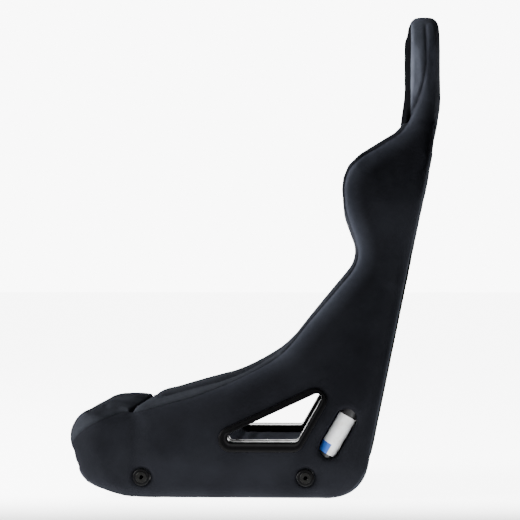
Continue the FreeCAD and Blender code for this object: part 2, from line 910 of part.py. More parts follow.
def is_ridge(edge):
    """The front edges of the bolster, from the thigh over the shoulder to the neck."""
    point = middle(edge)
    in_front = point.y < back_y(point.z).value - 5 and 1 < point.z < size("neck_height").value - 1
    at_heel = point.y > 0 and point.z < size("rear_foot_round").value
    return in_front and not at_heel and not runs_across(edge) and on_outline(edge, bolster_sweep.Base)


def faces_hollow(edge):
    point = middle(edge)
    flat = Part.Vertex(point.x, 0, point.z)
    return hollow_front.Shape.distToShape(flat)[0] < 2 * gap.value


def is_outer_ridge(edge):
    return is_ridge(edge) and not faces_hollow(edge)


def is_inner_ridge(edge):
    return is_ridge(edge) and faces_hollow(edge)


def is_rear(edge):
    """The outer edge of the bolster along the rear face and the floor."""
    outside = not faces_hollow(edge) and middle(edge).x > size("cushion_half_width").value
    return outside and not is_ridge(edge) and not runs_across(edge) and on_outline(edge, bolster_sweep.Base)


bolster_outer = rounded("bolster_outer", bolster_square, is_outer_ridge, size("ridge_round"))
bolster_ridged = rounded("bolster_ridged", bolster_outer, is_inner_ridge, size("inner_edge_round"))
bolster_whole = rounded("bolster_whole", bolster_ridged, is_rear, size("rear_edge_round"))

# Lap belt openings: a three-cornered slot with a guide from each side, meeting inside the bolster

def lap_corners(sides, radius):
    """The opening's outline grown by (sill, rear, top) distances."""
    sill, rear, top = (as_size(side) for side in sides)
    slope = tangent(size("lap_rear_angle"))
    climb = tangent(size("lap_top_angle"))
    front_y = size("lap_rear_y") - size("lap_length")
    low = size("lap_sill_height") - sill
    # the rear and top edges as lines y = rear_foot + z / slope and z = top_foot + y * climb
    rear_foot = size("lap_rear_y") - size("lap_sill_height") / slope + rear / sine(size("lap_rear_angle"))
    top_foot = size("lap_sill_height") - front_y * climb + top / cosine(size("lap_top_angle"))
    peak_y = (rear_foot + top_foot / slope) / (1 - climb / slope)
    return [
        ((low - top_foot) / climb, low, radius),
        (rear_foot + low / slope, low, radius),
        (peak_y, top_foot + peak_y * climb, radius),
    ]


guide_wall = size("guide_wall")
flange_thickness = size("guide_flange_thickness")
lap_hole = lap_corners((0, 0, 0), size("lap_corner_round"))
lap_sleeve = lap_corners((guide_wall,) * 3, size("lap_corner_round") + guide_wall)
outer_flange = (size("lap_sill_flange"), size("lap_rear_flange"), size("lap_top_flange"))
inner_flange = (size("lap_inner_flange"),) * 3
lap_middle = (size("side_half_width") + size("cushion_half_width")) / 2


def lap_guide(label, flange, flange_start, sleeve_start, sleeve_end):
    plate = across(label + "_flange", lap_corners(flange, size("lap_flange_round")), flange_start, flange_thickness)
    sleeve = across(label + "_sleeve", lap_sleeve, sleeve_start, sleeve_end - sleeve_start)
    hole = both_ways(label + "_hole", lap_hole, size("mount_face_span"))
    return cut(label, joined(label + "_body", "Part::MultiFuse", [plate, sleeve]), [hole])


side_face = size("side_half_width")
inner_face = size("cushion_half_width")
both_sides("lap_guide_outer", lap_guide(
    "lap_outer", outer_flange, side_face, lap_middle + gap / 2, side_face + flange_thickness / 2
))
both_sides("lap_guide_inner", lap_guide(
    "lap_inner", inner_flange, inner_face - flange_thickness, inner_face - flange_thickness / 2, lap_middle - gap / 2
))
lap_tunnel = both_ways(
    "lap_tunnel", lap_corners((guide_wall + gap,) * 3, size("lap_corner_round") + guide_wall + gap), size("mount_face_span")
)
inner_flange_grown = [side + gap for side in inner_flange]
flange_pocket = both_ways(
    "flange_pocket", lap_corners(inner_flange_grown, size("lap_flange_round") + gap), size("mount_face_span")
)
flange_shelf = cut("flange_shelf", flange_pocket, [
    both_ways("flange_shelf_core", [
        (-sweep_reach, -sweep_reach), (sweep_reach, -sweep_reach), (sweep_reach, sweep_reach), (-sweep_reach, sweep_reach),
    ], inner_face - flange_thickness - gap)
])


# The window in the left panel, and the film round the tube that shows in it

window_y = riser_y(size("window_height"))
along_y, along_z = cosine(size("riser_angle")), sine(size("riser_angle"))


def window_corner(along_sign, across_sign):
    half_length, half_width = along_sign * size("window_length") / 2, across_sign * size("window_width") / 2
    return (
        window_y + along_y * half_length + along_z * half_width,
        size("window_height") + along_z * half_length - along_y * half_width,
        size("window_round"),
    )


window = across(
    "window", [window_corner(-1, -1), window_corner(-1, 1), window_corner(1, 1), window_corner(1, -1)],
    half_tubes, mount_face - half_tubes,
)


def riser_rod(label, radius):
    rod = doc.addObject("Part::Cylinder", label)
    turn(rod, (1, 0, 0), size("riser_angle") - 90)
    bind(rod, "Radius", radius)
    bind(rod, "Height", size("film_length"))
    half = size("film_length") / 2
    move(rod, half_tubes, riser_y(size("film_height")) - along_y * half, size("film_height") - along_z * half)
    return rod


film_radius = tube_radius + size("film_gap")
film_shell = cut("film_shell", riser_rod("film_outside", film_radius + size("film_thickness")), [
    riser_rod("film_inside", film_radius)
])
film_side = across("film_side", [
    (-sweep_reach, 0), (sweep_reach, 0), (sweep_reach, sweep_reach), (-sweep_reach, sweep_reach),
], half_tubes + tube_radius * cosine(size("film_wrap") / 2), size("tube_diameter"))
keep("tube_label", common("tube_label", film_shell, film_side))


# Rear cover: one sewn panel up the back, over the neck and round the back of the head

head_top = size("head_top_height")
head_rear_y = size("head_front_y") + size("head_depth")
head_seam_y = size("head_front_y") + size("head_seam_depth")
head_line = [
    (size("head_foot_half_width"), head_foot),
    (size("head_half_width"), size("head_cheek_height"), size("head_cheek_round")),
    (size("head_top_half_width"), head_top - size("head_arch"), size("head_top_round")),
]
head_line += [(0, head_top + size("head_arch"))] + flipped(head_line)


def rear_panel(label, clearance):
    """The strip up the back as far as the neck, grown by a clearance."""
    foot = size("rear_panel_foot") - clearance
    inset = size("rear_panel_inset") - clearance
    depth = size("rear_panel_thickness") + clearance
    reach = head_rear_y if clearance.value else 0
    strip = [
        (back_y(foot, depth), foot),
        (back_y(foot) + reach, foot),
        (back_y(head_foot) + reach, head_foot),
        (back_y(head_foot, depth), head_foot),
    ]
    line = [(size("side_half_width") - inset, below)] + outer_line(inset)
    line += [(size("head_foot_half_width"), head_foot)]
    return common(label, both_ways(label + "_strip", strip, sweep_reach), along(label + "_line", line + flipped(line)))


head_back = [
    (size("head_chin_y"), head_foot),
    (back_y(head_foot), head_foot),
    (back_y(head_foot + size("head_crown_round")), head_foot + size("head_crown_round"), size("head_rear_round")),
    (head_rear_y, head_top, size("head_crown_round")),
    (head_seam_y, head_top),
    (head_seam_y, size("head_seam_height"), size("head_seam_round")),
    (size("head_seam_foot_y"), size("head_seam_foot_height")),
    (size("head_chin_y"), size("head_seam_foot_height")),
]
head_square = common(
    "head_square", both_ways("head_back", head_back, sweep_reach), along("head_block_line", head_line)
)


def is_head_rear(edge):
    """An edge round the head's outline at its rear face."""
    point = middle(edge)
    behind = point.y > head_seam_y.value + 2 and point.z > head_foot.value + 2
    return behind and not at_middle(edge) and not runs_back(edge)


def runs_back(edge):
    """True for an edge that runs along Y."""
    first, last = edge.Vertexes[0].Point, edge.Vertexes[-1].Point
    return abs(last.y - first.y) > 0.9 * edge.Length


def at_middle(edge):
    """True for an edge on the head's top or rear face that runs across the middle."""
    return runs_across(edge) and edge.Length > size("head_half_width").value


head_block = rounded("head_block", head_square, is_head_rear, size("head_edge_round"))
head_pad_side = [
    (size("head_chin_y"), size("head_seam_foot_height") + gap),
    (size("head_seam_foot_y") - gap, size("head_seam_foot_height") + gap),
    (head_seam_y - gap, size("head_seam_height"), size("head_seam_round")),
    (head_seam_y - gap, head_top),
    (size("head_front_y"), head_top, size("head_crown_round")),
    (size("head_front_y"), size("head_swell_height"), size("head_swell_round")),
]
head_pad_square = common(
    "head_pad_square", both_ways("head_pad_side", head_pad_side, sweep_reach),
    along("head_pad_line", head_line),
)


# Shoulder belt guides, tilted with the back

slot_half_width = size("harness_slot_width") / 2
slot_half_depth = size("harness_slot_depth") / 2


def slot_corners(half_width, half_depth, radius):
    return [
        (-half_width, -half_depth, radius),
        (half_width, -half_depth, radius),
        (half_width, half_depth, radius),
        (-half_width, half_depth, radius),
    ]


def slot_block(label, grow, start, length):
    """A rounded block along the slot's own axis, placed on the rear face at the slot's height."""
    corners = slot_corners(slot_half_width + grow, slot_half_depth + grow, size("harness_slot_round") + grow)
    sketch = outline(label + "_outline", "XZ", corners)
    block = prism(label, sketch, (0, 1, 0), start + length, -start)
    turn(block, (-1, 0, 0), lean)
    move(block, size("harness_slot_centre"), back_y(size("harness_slot_height")), size("harness_slot_height"))
    return block


pad_through = size("back_pad_depth") * cosine(lean)


def harness_guide(label, flange_start, sleeve_start, sleeve_length):
    flange = slot_block(label + "_flange", size("slot_flange"), flange_start, flange_thickness)
    sleeve = slot_block(label + "_sleeve", guide_wall, sleeve_start, sleeve_length)
    hole = slot_block(label + "_hole", Size(0.0, "0"), -2 * pad_through, 3 * pad_through)
    return cut(label, joined(label + "_body", "Part::MultiFuse", [flange, sleeve]), [hole])


front_guide = harness_guide(
    "harness_front", -pad_through - flange_thickness, -pad_through - flange_thickness / 2,
    (pad_through + flange_thickness - gap) / 2,
)
rear_guide = harness_guide(
    "harness_rear", Size(0.0, "0"), (gap - pad_through) / 2, (pad_through + flange_thickness - gap) / 2
)
for end, guide in (("front", front_guide), ("rear", rear_guide)):
    keep("left_harness_guide_" + end, guide)
    keep("right_harness_guide_" + end, mirrored("right_harness_guide_" + end, guide))
harness_tunnel = slot_block("harness_tunnel", guide_wall + gap, -2 * pad_through, 3 * pad_through)
harness_tunnels = [harness_tunnel, mirrored("harness_tunnel_right", harness_tunnel)]

keep("rear_cover", cut("rear_cover", joined("rear_cover_body", "Part::MultiFuse", [
    rear_panel("rear_strip", Size(0.0, "0")), head_block
]), [channels["hoop"], channels["head_webbing"]] + harness_tunnels))
keep("head_pad", cut("head_pad", head_pad_square, [channels["hoop"], channels["head_webbing"]]))
rear_recess = rear_panel("rear_recess", gap)


# Front roll across the nose

roll_side = [
    (size("bolster_front_y") - gap, 0),
    (size("bolster_front_y") - gap, size("roll_rear_height")),
    (size("nose_crown_y"), size("nose_crown_height"), size("nose_crown_round")),
    (size("nose_y"), size("nose_height"), size("nose_round")),
    (size("nose_sill_y"), size("nose_sill_height"), size("nose_sill_round")),
]
roll_plan = [
    (size("roll_half_width"), 0),
    (-size("roll_half_width"), 0),
    (-size("roll_half_width"), size("nose_y"), size("roll_corner_round")),
    (size("roll_half_width"), size("nose_y"), size("roll_corner_round")),
]
roll_column = prism("roll_column", outline("roll_plan", "XY", roll_plan), (0, 0, 1), sweep_reach)
roll_block = both_ways("roll_side", roll_side, size("roll_half_width") * 2)
roll_front = along("roll_front", [
    (-size("roll_half_width"), 0),
    (size("roll_half_width"), 0),
    (size("roll_half_width"), size("roll_top_height"), size("roll_crown_round")),
    (-size("roll_half_width"), size("roll_top_height"), size("roll_crown_round")),
])
roll_square = common("roll_square", roll_block, roll_column)
roll_blank = common("roll_blank", roll_square, roll_front)
keep("front_roll", cut("front_roll", roll_blank, [channels["side"], channels["side_right"], channels["front_cross"]]))


# Seat cushion and crotch strap guide

cushion_half = size("cushion_half_width") - gap
cushion_bottom = size("mount_height") + size("strap_thickness") / 2 + gap
cushion_front = size("bolster_front_y") + gap
pad_depth = size("back_pad_depth")
seat_side = [
    (cushion_front, cushion_bottom),
    (back_y(cushion_bottom, pad_depth + gap), cushion_bottom),
    (back_y(size("seat_floor_height"), pad_depth + gap), size("seat_floor_height")),
    (size("seat_floor_y"), size("seat_floor_height"), size("seat_floor_round")),
    (size("crest_y"), size("crest_height"), size("crest_round")),
    (cushion_front, size("cushion_front_height")),
]
seat_square = both_ways("seat_square", seat_side, cushion_half)


def is_cushion_top(edge):
    """The long edges of the seat cushion's top, left and right."""
    point = middle(edge)
    in_front = point.y < back_y(point.z, pad_depth).value - 2
    return abs(point.x) > cushion_half.value - 1 and in_front and point.y > cushion_front.value + 1 and (
        point.z > size("seat_floor_height").value - 1
    )


seat_blank = rounded("seat_blank", seat_square, is_cushion_top, size("cushion_edge_round"))

crotch_y = size("crotch_slot_y")
crotch_half_width = size("crotch_slot_width") / 2
crotch_half_depth = size("crotch_slot_depth") / 2
slope_drop = (size("crest_height") - size("seat_floor_height")) / (size("seat_floor_y") - size("crest_y"))
crotch_top = size("crest_height") - (crotch_y - size("crest_y")) * slope_drop
crotch_middle = (cushion_bottom + crotch_top) / 2
cloth_height = size("cloth_height")


def crotch_sketch(label, grow):
    corners = slot_corners(crotch_half_width + grow, crotch_half_depth + grow, size("crotch_slot_round") + grow)
    return outline(label + "_plan", "XY", [(c[0], c[1] + crotch_y) + c[2:] for c in corners])


def crotch_block(label, grow, bottom, length):
    block = prism(label, crotch_sketch(label, grow), (0, 0, 1), length)
    move(block, z=bottom)
    return block


flange_slope = [
    (crotch_y - size("crotch_slot_width"), crotch_top + size("crotch_slot_width") * slope_drop),
    (crotch_y + size("crotch_slot_width"), crotch_top - size("crotch_slot_width") * slope_drop),
]
flange_slope += [(y, z + flange_thickness) for y, z in reversed(flange_slope)]
no_growth = Size(0.0, "0")
crotch_hole = crotch_block("crotch_hole", no_growth, no_growth, size("crest_height") * 2)
crotch_rim = common(
    "crotch_rim", both_ways("crotch_slope", flange_slope, size("crotch_slot_width")),
    crotch_block("crotch_rim_block", size("slot_flange"), no_growth, size("crest_height") * 2),
)
crotch_sleeve = common(
    "crotch_sleeve", seat_blank,
    crotch_block("crotch_sleeve_block", guide_wall, crotch_middle + gap / 2, size("crest_height")),
)
keep("crotch_guide_top", cut(
    "crotch_guide_top", joined("crotch_top_body", "Part::MultiFuse", [crotch_rim, crotch_sleeve]), [crotch_hole]
))
bottom_rim = crotch_block("crotch_bottom_rim", size("slot_flange"), cloth_height - flange_thickness, flange_thickness)
bottom_sleeve = crotch_block(
    "crotch_bottom_sleeve", guide_wall, cloth_height - flange_thickness / 2,
    crotch_middle - gap / 2 - cloth_height + flange_thickness / 2,
)
keep("crotch_guide_bottom", cut(
    "crotch_guide_bottom", joined("crotch_bottom_body", "Part::MultiFuse", [bottom_rim, bottom_sleeve]), [crotch_hole]
))
crotch_tunnel = crotch_block("crotch_tunnel", guide_wall + gap, no_growth, size("crest_height") * 2)
keep("seat_cushion", cut("seat_cushion", seat_blank, [
    channels["rear_cross"], crotch_tunnel, flange_shelf, mirrored("flange_shelf_right", flange_shelf)
]))

cloth_blank = doc.addObject("Part::Box", "cloth_blank")
bind(cloth_blank, "Length", 2 * cushion_half)
bind(cloth_blank, "Width", size("rear_foot_y") - size("rear_foot_round") - cushion_front)
bind(cloth_blank, "Height", size("cloth_thickness"))
move(cloth_blank, -cushion_half, cushion_front, cloth_height)
keep("underside_cloth", cut("underside_cloth", cloth_blank, [crotch_tunnel]))


# Back cushion

pad_rear = size("tube_setback") + (size("strap_thickness") / 2 + gap) / cosine(lean)
pad_foot = size("back_pad_foot")
pad_top = size("neck_height")
back_side = [
    (back_y(size("seat_floor_height"), pad_depth), size("seat_floor_height")),
    (back_y(pad_foot, pad_depth), pad_foot),
    (back_y(pad_foot, pad_rear), pad_foot),
    (back_y(pad_top, pad_rear), pad_top),
    (back_y(pad_top, pad_depth), pad_top),
    (back_y(size("chest_height"), pad_depth), size("chest_height"), size("lumbar_round")),
    (
        back_y(size("lumbar_height"), pad_depth + size("lumbar_swell")),
        size("lumbar_height"),
        size("lumbar_round"),
    ),
]
hollow_prism = prism("hollow_prism", hollow_front, (0, 1, 0), sweep_reach, sweep_reach)
back_square = common("back_square", both_ways("back_side", back_side, sweep_reach), hollow_prism)


def is_back_front(edge):
    """The front edges of the back cushion along both sides and the top."""
    point = middle(edge)
    return point.z > pad_foot.value + 12 and point.y < back_y(point.z, pad_depth).value + 1


back_blank = rounded("back_blank", back_square, is_back_front, size("cushion_edge_round"))
keep("back_cushion", cut("back_cushion", back_blank, [
    channels["side"], channels["side_right"], channels["wing"], channels["wing_right"],
    channels["hoop"], channels["lumbar_cross"], channels["harness_cross"],
    channels["back_webbing"], channels["head_webbing"],
] + harness_tunnels))


# Side covers and the bolsters under them

def panel(label, clearance):
    return common(
        label,
        along(label + "_skin", skin_band(size("cover_thickness") + clearance)),
        across(label + "_edge", panel_outline(clearance), inner_face, sweep_reach),
    )


bush_channels = [channels["front_bush"], channels["rear_bush"]]
cover_blank = common("cover_blank", bolster_whole, panel("cover_panel", no_growth))
cover_open = cut("cover_open", cover_blank, bush_channels + [lap_tunnel])
keep("left_side_cover", cut("left_side_cover", cover_open, [window]))
keep("right_side_cover", mirrored("right_side_cover", cover_open))

foam = cut("foam", bolster_whole, [panel("cover_recess", gap), rear_recess, lap_tunnel] + bush_channels + [
    channels["side"], channels["rail"], channels["wing"],
    channels["rear_cross"], channels["lumbar_cross"], channels["harness_cross"],
    channels["seat_webbing"], channels["back_webbing"], channels["hoop"],
])
split = size("waist_split_height")


def slab(label, bottom, top):
    return both_ways(label, [
        (-sweep_reach, bottom), (sweep_reach, bottom), (sweep_reach, top), (-sweep_reach, top),
    ], sweep_reach)


thigh_foam = common("thigh_foam", foam, slab("below_waist", 0, split - gap / 2))
shoulder_foam = common("shoulder_foam", foam, slab("above_waist", split + gap / 2, head_top))
film_channel = riser_rod("film_channel", film_radius + size("film_thickness") + gap)
keep("left_thigh_bolster", cut("left_thigh_bolster", thigh_foam, [window, film_channel]))
keep("right_thigh_bolster", mirrored("right_thigh_bolster", thigh_foam))
both_sides("shoulder_bolster", shoulder_foam)

doc.recompute()
for thing in doc.Objects:
    if "Invalid" in thing.State or "Error" in thing.State:
        raise RuntimeError("%s could not be built" % thing.Name)
os.makedirs("parts", exist_ok=True)
for label, thing in parts.items():
    if thing.Shape.isNull() or not thing.Shape.isValid():
        raise RuntimeError("%s has no valid shape" % label)
    thing.Shape.exportStep("parts/%s.step" % label)
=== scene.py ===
import json
import math
import bmesh
import bpy
import numpy as np
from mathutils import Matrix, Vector
from mathutils.bvhtree import BVHTree
from mathutils.geometry import delaunay_2d_cdt


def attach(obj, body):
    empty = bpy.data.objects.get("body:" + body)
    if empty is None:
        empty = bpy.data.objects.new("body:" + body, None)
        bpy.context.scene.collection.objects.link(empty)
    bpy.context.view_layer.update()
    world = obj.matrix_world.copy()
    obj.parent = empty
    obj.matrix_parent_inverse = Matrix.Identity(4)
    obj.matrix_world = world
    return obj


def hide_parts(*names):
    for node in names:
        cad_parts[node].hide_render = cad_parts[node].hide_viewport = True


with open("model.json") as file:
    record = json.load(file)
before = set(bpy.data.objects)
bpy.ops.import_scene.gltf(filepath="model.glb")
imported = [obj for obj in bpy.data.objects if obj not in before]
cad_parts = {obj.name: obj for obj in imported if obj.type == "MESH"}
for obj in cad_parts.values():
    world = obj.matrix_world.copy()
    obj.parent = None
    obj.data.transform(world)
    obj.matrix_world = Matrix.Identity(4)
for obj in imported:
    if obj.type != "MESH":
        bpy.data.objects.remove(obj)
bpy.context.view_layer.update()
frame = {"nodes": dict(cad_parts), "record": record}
nodes = frame["nodes"]
scene = bpy.context.scene
mm = 0.001
print("frame loaded:", len(nodes), "nodes")


# Shader maths: a socket that takes part in Python expressions

class Wire:
    def __init__(self, owner, socket):
        self.owner = owner
        self.socket = socket

    def maths(self, operation, *values):
        return self.owner.add("ShaderNodeMath", {"operation": operation}, dict(enumerate(values)))

    def __add__(self, other):
        return self.maths("ADD", self, other)

    def __radd__(self, other):
        return self.maths("ADD", other, self)

    def __sub__(self, other):
        return self.maths("SUBTRACT", self, other)

    def __rsub__(self, other):
        return self.maths("SUBTRACT", other, self)

    def __mul__(self, other):
        return self.maths("MULTIPLY", self, other)

    def __rmul__(self, other):
        return self.maths("MULTIPLY", other, self)


class NodeTree:
    def __init__(self, tree, shader):
        self.tree = tree
        self.shader = tree.nodes[shader]

    def add(self, kind, settings=None, sockets=None, out=0):
        made = self.tree.nodes.new(kind)
        for key, value in (settings or {}).items():
            setattr(made, key, value)
        for key, value in (sockets or {}).items():
            self.feed(made.inputs[key], value)
        return Wire(self, made.outputs[out])

    def feed(self, socket, value):
        if isinstance(value, Wire):
            self.tree.links.new(value.socket, socket)
        else:
            socket.default_value = value

    def set(self, **values):
        for key, value in values.items():
            self.feed(self.shader.inputs[key.replace("_", " ")], value)

    def axes(self, space="Object"):
        made = self.add("ShaderNodeSeparateXYZ", sockets={0: self.add("ShaderNodeTexCoord", out=space)})
        return [Wire(self, socket) for socket in made.socket.node.outputs]

    def noise(self, scale, detail=3.0):
        place = self.add("ShaderNodeTexCoord", out="Object")
        return self.add("ShaderNodeTexNoise", {}, {"Vector": place, "Scale": scale, "Detail": detail})

    def mix(self, factor, first, second):
        return self.add("ShaderNodeMix", {"data_type": "RGBA"}, {0: factor, 6: first, 7: second}, out=2)

    def span(self, value, low, high, newLow=0.0, newHigh=1.0):
        return self.add(
            "ShaderNodeMapRange", {"interpolation_type": "SMOOTHSTEP"},
            {0: value, 1: low, 2: high, 3: newLow, 4: newHigh},
        )

    def ripple(self, value, pitch):
        turns = value * (2 * math.pi / pitch)
        return turns.maths("SINE", turns)

    def bump(self, height, strength, distance, under=None):
        sockets = {"Height": height, "Strength": strength, "Distance": distance}
        if under:
            sockets["Normal"] = under
        return self.add("ShaderNodeBump", {}, sockets)


class Finish(NodeTree):
    def __init__(self, name):
        self.material = bpy.data.materials.new(name)
        self.material.use_nodes = True
        super().__init__(self.material.node_tree, "Principled BSDF")


def rgb(red, green, blue):
    return (red, green, blue, 1.0)


# Camera and lights

viewFrom = {"place": (3.494, 0.1707, 0.4027), "lookAt": (0.0, 0.0058, 0.4214), "lens": 129.1}
lamps = [
    {"name": "softboxTop", "place": (-0.9, -1.2, 2.9), "size": (3.0, 3.0), "power": 22.0},
    {"name": "softboxFront", "place": (0.45, -3.0, 1.5), "size": (2.2, 2.2), "power": 420.0},
    {"name": "softboxSide", "place": (3.4, 0.6, 2.2), "size": (2.0, 2.0), "power": 7.0},
]
lampsLookAt = (0.0, 0.0, 0.4)
room = {"dim": 0.2, "bright": 9.0, "from": -0.84, "to": -0.95}


def aimAt(obj, target):
    obj.rotation_euler = (Vector(target) - obj.location).to_track_quat("-Z", "Y").to_euler()


def link(obj):
    scene.collection.objects.link(obj)
    return obj


cameraData = bpy.data.cameras.new("camera")
cameraData.lens = viewFrom["lens"]
camera = link(bpy.data.objects.new("camera", cameraData))
camera.location = viewFrom["place"]
aimAt(camera, viewFrom["lookAt"])
scene.camera = camera

for lamp in lamps:
    data = bpy.data.lights.new(lamp["name"], "AREA")
    data.shape = "RECTANGLE"
    data.size, data.size_y = lamp["size"]
    data.energy = lamp["power"]
    softbox = link(bpy.data.objects.new(lamp["name"], data))
    softbox.location = lamp["place"]
    aimAt(softbox, lampsLookAt)

# the room is bright behind the seat and dim on the side that faces the camera
world = bpy.data.worlds.new("paleRoom")
scene.world = world
world.use_nodes = True
roomLight = NodeTree(world.node_tree, "Background")
roomLight.set(
    Color=rgb(1.0, 1.0, 1.0),
    Strength=roomLight.span(
        roomLight.axes("Generated")[0], room["from"], room["to"], room["dim"], room["bright"],
    ),
)


# Finishes. Noise stays mostly between these two values
noiseRange = (0.3, 0.7)

# The cover is a fine warp knit with a short brushed face, one fabric throughout. The pads' and the seat's
# tones are painted paler, as lit, and the side panels' darker, as shaded, and the head pad's front face is
# painted darkest, as shade
knitLook = {
    "pitch": 0.0014, "speckle": 900.0, "clouds": 9.0, "cloudShare": 0.7, "shade": (0.35, 0.65),
    "roughness": (0.86, 0.96), "specular": 0.0, "loopBump": (0.3, 0.0002), "speckleBump": (0.25, 0.0004),
}
panelShadedTone = {"dark": rgb(0.0062, 0.0065, 0.0080), "light": rgb(0.0098, 0.0104, 0.0128)}
padLitTone = {"dark": rgb(0.0125, 0.0135, 0.0165), "light": rgb(0.0190, 0.0205, 0.0245)}
seatLitTone = {"dark": rgb(0.014, 0.015, 0.019), "light": rgb(0.022, 0.024, 0.029)}
frontShadeTone = {"dark": rgb(0.0016, 0.0017, 0.0020), "light": rgb(0.0028, 0.0029, 0.0034)}
# painted highlight on the head's side, just behind its front edge
headHighlightTone = {"dark": rgb(0.042, 0.046, 0.058), "light": rgb(0.060, 0.066, 0.083)}
# painted highlight along the front seam
seamHighlightTone = {"dark": rgb(0.022, 0.024, 0.031), "light": rgb(0.034, 0.037, 0.047)}
# the head pad's front face, darkened as painted shade, ends at a y that leans back from the foot to the
# crown, and a band of painted highlight follows it, which fades in over the neck
headFace = {
    "foot": 0.2832, "crown": 0.2842, "low": 0.690, "high": 0.845, "soft": 0.0008,
    "highlightEnd": 0.042, "highlightStart": 0.004, "neck": (0.62, 0.70),
}


def knitFinish(name, tone, front=None, edged=False):
    finish = Finish(name)
    x, y, z = finish.axes()
    sx, sy, sz = [finish.ripple(axis, knitLook["pitch"]) for axis in (x, y, z)]
    loops = sx * sy + sy * sz + sz * sx
    speckle = finish.noise(knitLook["speckle"], 2.0)
    share = knitLook["cloudShare"]
    shade = finish.span(
        finish.noise(knitLook["clouds"], 4.0) * share + speckle * (1.0 - share), *knitLook["shade"],
    )

    def toned(look):
        return finish.mix(shade, look["dark"], look["light"])

    colour = toned(tone)
    if front:
        behind = y - finish.span(z, headFace["low"], headFace["high"], headFace["foot"], headFace["crown"])
        band = finish.span(behind, headFace["highlightEnd"], headFace["highlightStart"])
        # painted highlight: the head's side is paler in a band just behind its front face, fading in over
        # the neck
        colour = finish.mix(band * finish.span(z, *headFace["neck"]), colour, toned(headHighlightTone))
        # painted shade: the head pad's front face is darker
        colour = finish.mix(finish.span(behind, headFace["soft"], -headFace["soft"]), colour, toned(front))
    if edged:
        # a painted highlight along the front seam, where light falls on the rounded edge
        seamHighlight = finish.add("ShaderNodeAttribute", {"attribute_name": "seamHighlightMask"}, out="Fac")
        colour = finish.mix(seamHighlight, colour, toned(seamHighlightTone))
    finish.set(
        Base_Color=colour,
        Roughness=finish.span(speckle, *noiseRange, *knitLook["roughness"]),
        Specular_IOR_Level=knitLook["specular"],
        Normal=finish.bump(
            loops, *knitLook["loopBump"], under=finish.bump(speckle, *knitLook["speckleBump"]),
        ),
    )
    return finish.material


def coatedSteel():
    finish = Finish("blackPowderCoat")
    finish.set(
        Base_Color=rgb(0.012, 0.012, 0.013),
        Roughness=finish.span(finish.noise(40.0), *noiseRange, 0.38, 0.5),
        Normal=finish.bump(finish.noise(700.0, 2.0), 0.2, 0.0002),
    )
    return finish.material


def turnedSteel():
    # phosphated steel with the fine grain that a lathe tool leaves
    finish = Finish("phosphatedSteel")
    grain = finish.noise(1500.0, 2.0)
    finish.set(
        Base_Color=finish.mix(finish.noise(120.0), rgb(0.006, 0.006, 0.006), rgb(0.013, 0.013, 0.0125)),
        Metallic=1.0,
        Roughness=finish.span(grain, *noiseRange, 0.34, 0.5),
        Normal=finish.bump(grain, 0.15, 0.0001),
    )
    return finish.material


def mouldedPlastic():
    finish = Finish("mouldedPlastic")
    dark, light = rgb(0.0016, 0.0016, 0.0018), rgb(0.0030, 0.0030, 0.0033)
    finish.set(
        Base_Color=finish.mix(finish.noise(25.0), dark, light),
        Roughness=finish.span(finish.noise(60.0), *noiseRange, 0.26, 0.36),
        Specular_IOR_Level=0.03,
        Normal=finish.bump(finish.noise(1400.0), 0.25, 0.0001),
    )
    return finish.material


def webbingFinish():
    # flat woven elastic: ribs across the band, crossed by its rubber cords
    finish = Finish("elasticWebbing")
    dark, light = rgb(0.020, 0.020, 0.022), rgb(0.045, 0.045, 0.048)
    x, y, z = finish.axes()
    weave = finish.ripple(x, 0.0022) * finish.ripple(y + z, 0.0030)
    finish.set(
        Base_Color=finish.mix(finish.span(weave, -0.6, 0.6), dark, light),
        Roughness=finish.span(finish.noise(300.0), *noiseRange, 0.75, 0.9),
        Normal=finish.bump(weave, 0.6, 0.0004),
    )
    return finish.material


def linerFinish():
    # spun-bonded liner with a dimpled print
    finish = Finish("spunLiner")
    x, y, z = finish.axes()
    dimples = finish.ripple(x, 0.0016) * finish.ripple(y, 0.0016)
    fibres = finish.noise(650.0, 5.0)
    finish.set(
        Base_Color=finish.mix(fibres, rgb(0.010, 0.010, 0.011), rgb(0.022, 0.022, 0.024)),
        Roughness=finish.span(fibres, *noiseRange, 0.8, 0.95),
        Specular_IOR_Level=0.2,
        Normal=finish.bump(dimples, 0.4, 0.0002, under=finish.bump(fibres, 0.3, 0.0003)),
    )
    return finish.material


# Blank white film, worn a little, with a plain blue block at one corner of its lower end
filmLook = {
    "paper": rgb(0.78, 0.79, 0.80), "worn": rgb(0.66, 0.66, 0.64), "blue": rgb(0.02, 0.10, 0.42),
    "lean": math.radians(60.0), "middle": (0.1513, 0.112), "half": 0.0475,
    "blockLength": 0.028, "blockEdge": 0.0005, "soft": 0.0004,
}


def filmFinish():
    finish = Finish("blankFilm")
    x, y, z = finish.axes()
    y, z = y - filmLook["middle"][0], z - filmLook["middle"][1]
    along = y * math.cos(filmLook["lean"]) + z * math.sin(filmLook["lean"])
    over = y * math.sin(filmLook["lean"]) - z * math.cos(filmLook["lean"])
    end, edge, soft = filmLook["blockLength"] - filmLook["half"], filmLook["blockEdge"], filmLook["soft"]
    block = finish.span(along, end + soft, end - soft) * finish.span(over, edge + soft, edge - soft)
    paper = finish.mix(finish.span(finish.noise(80.0, 4.0), 0.45, 0.75), filmLook["paper"], filmLook["worn"])
    finish.set(
        Base_Color=finish.mix(block, paper, filmLook["blue"]),
        Roughness=finish.span(finish.noise(200.0), *noiseRange, 0.3, 0.42),
        Normal=finish.bump(finish.noise(60.0), 0.1, 0.0003),
    )
    return finish.material


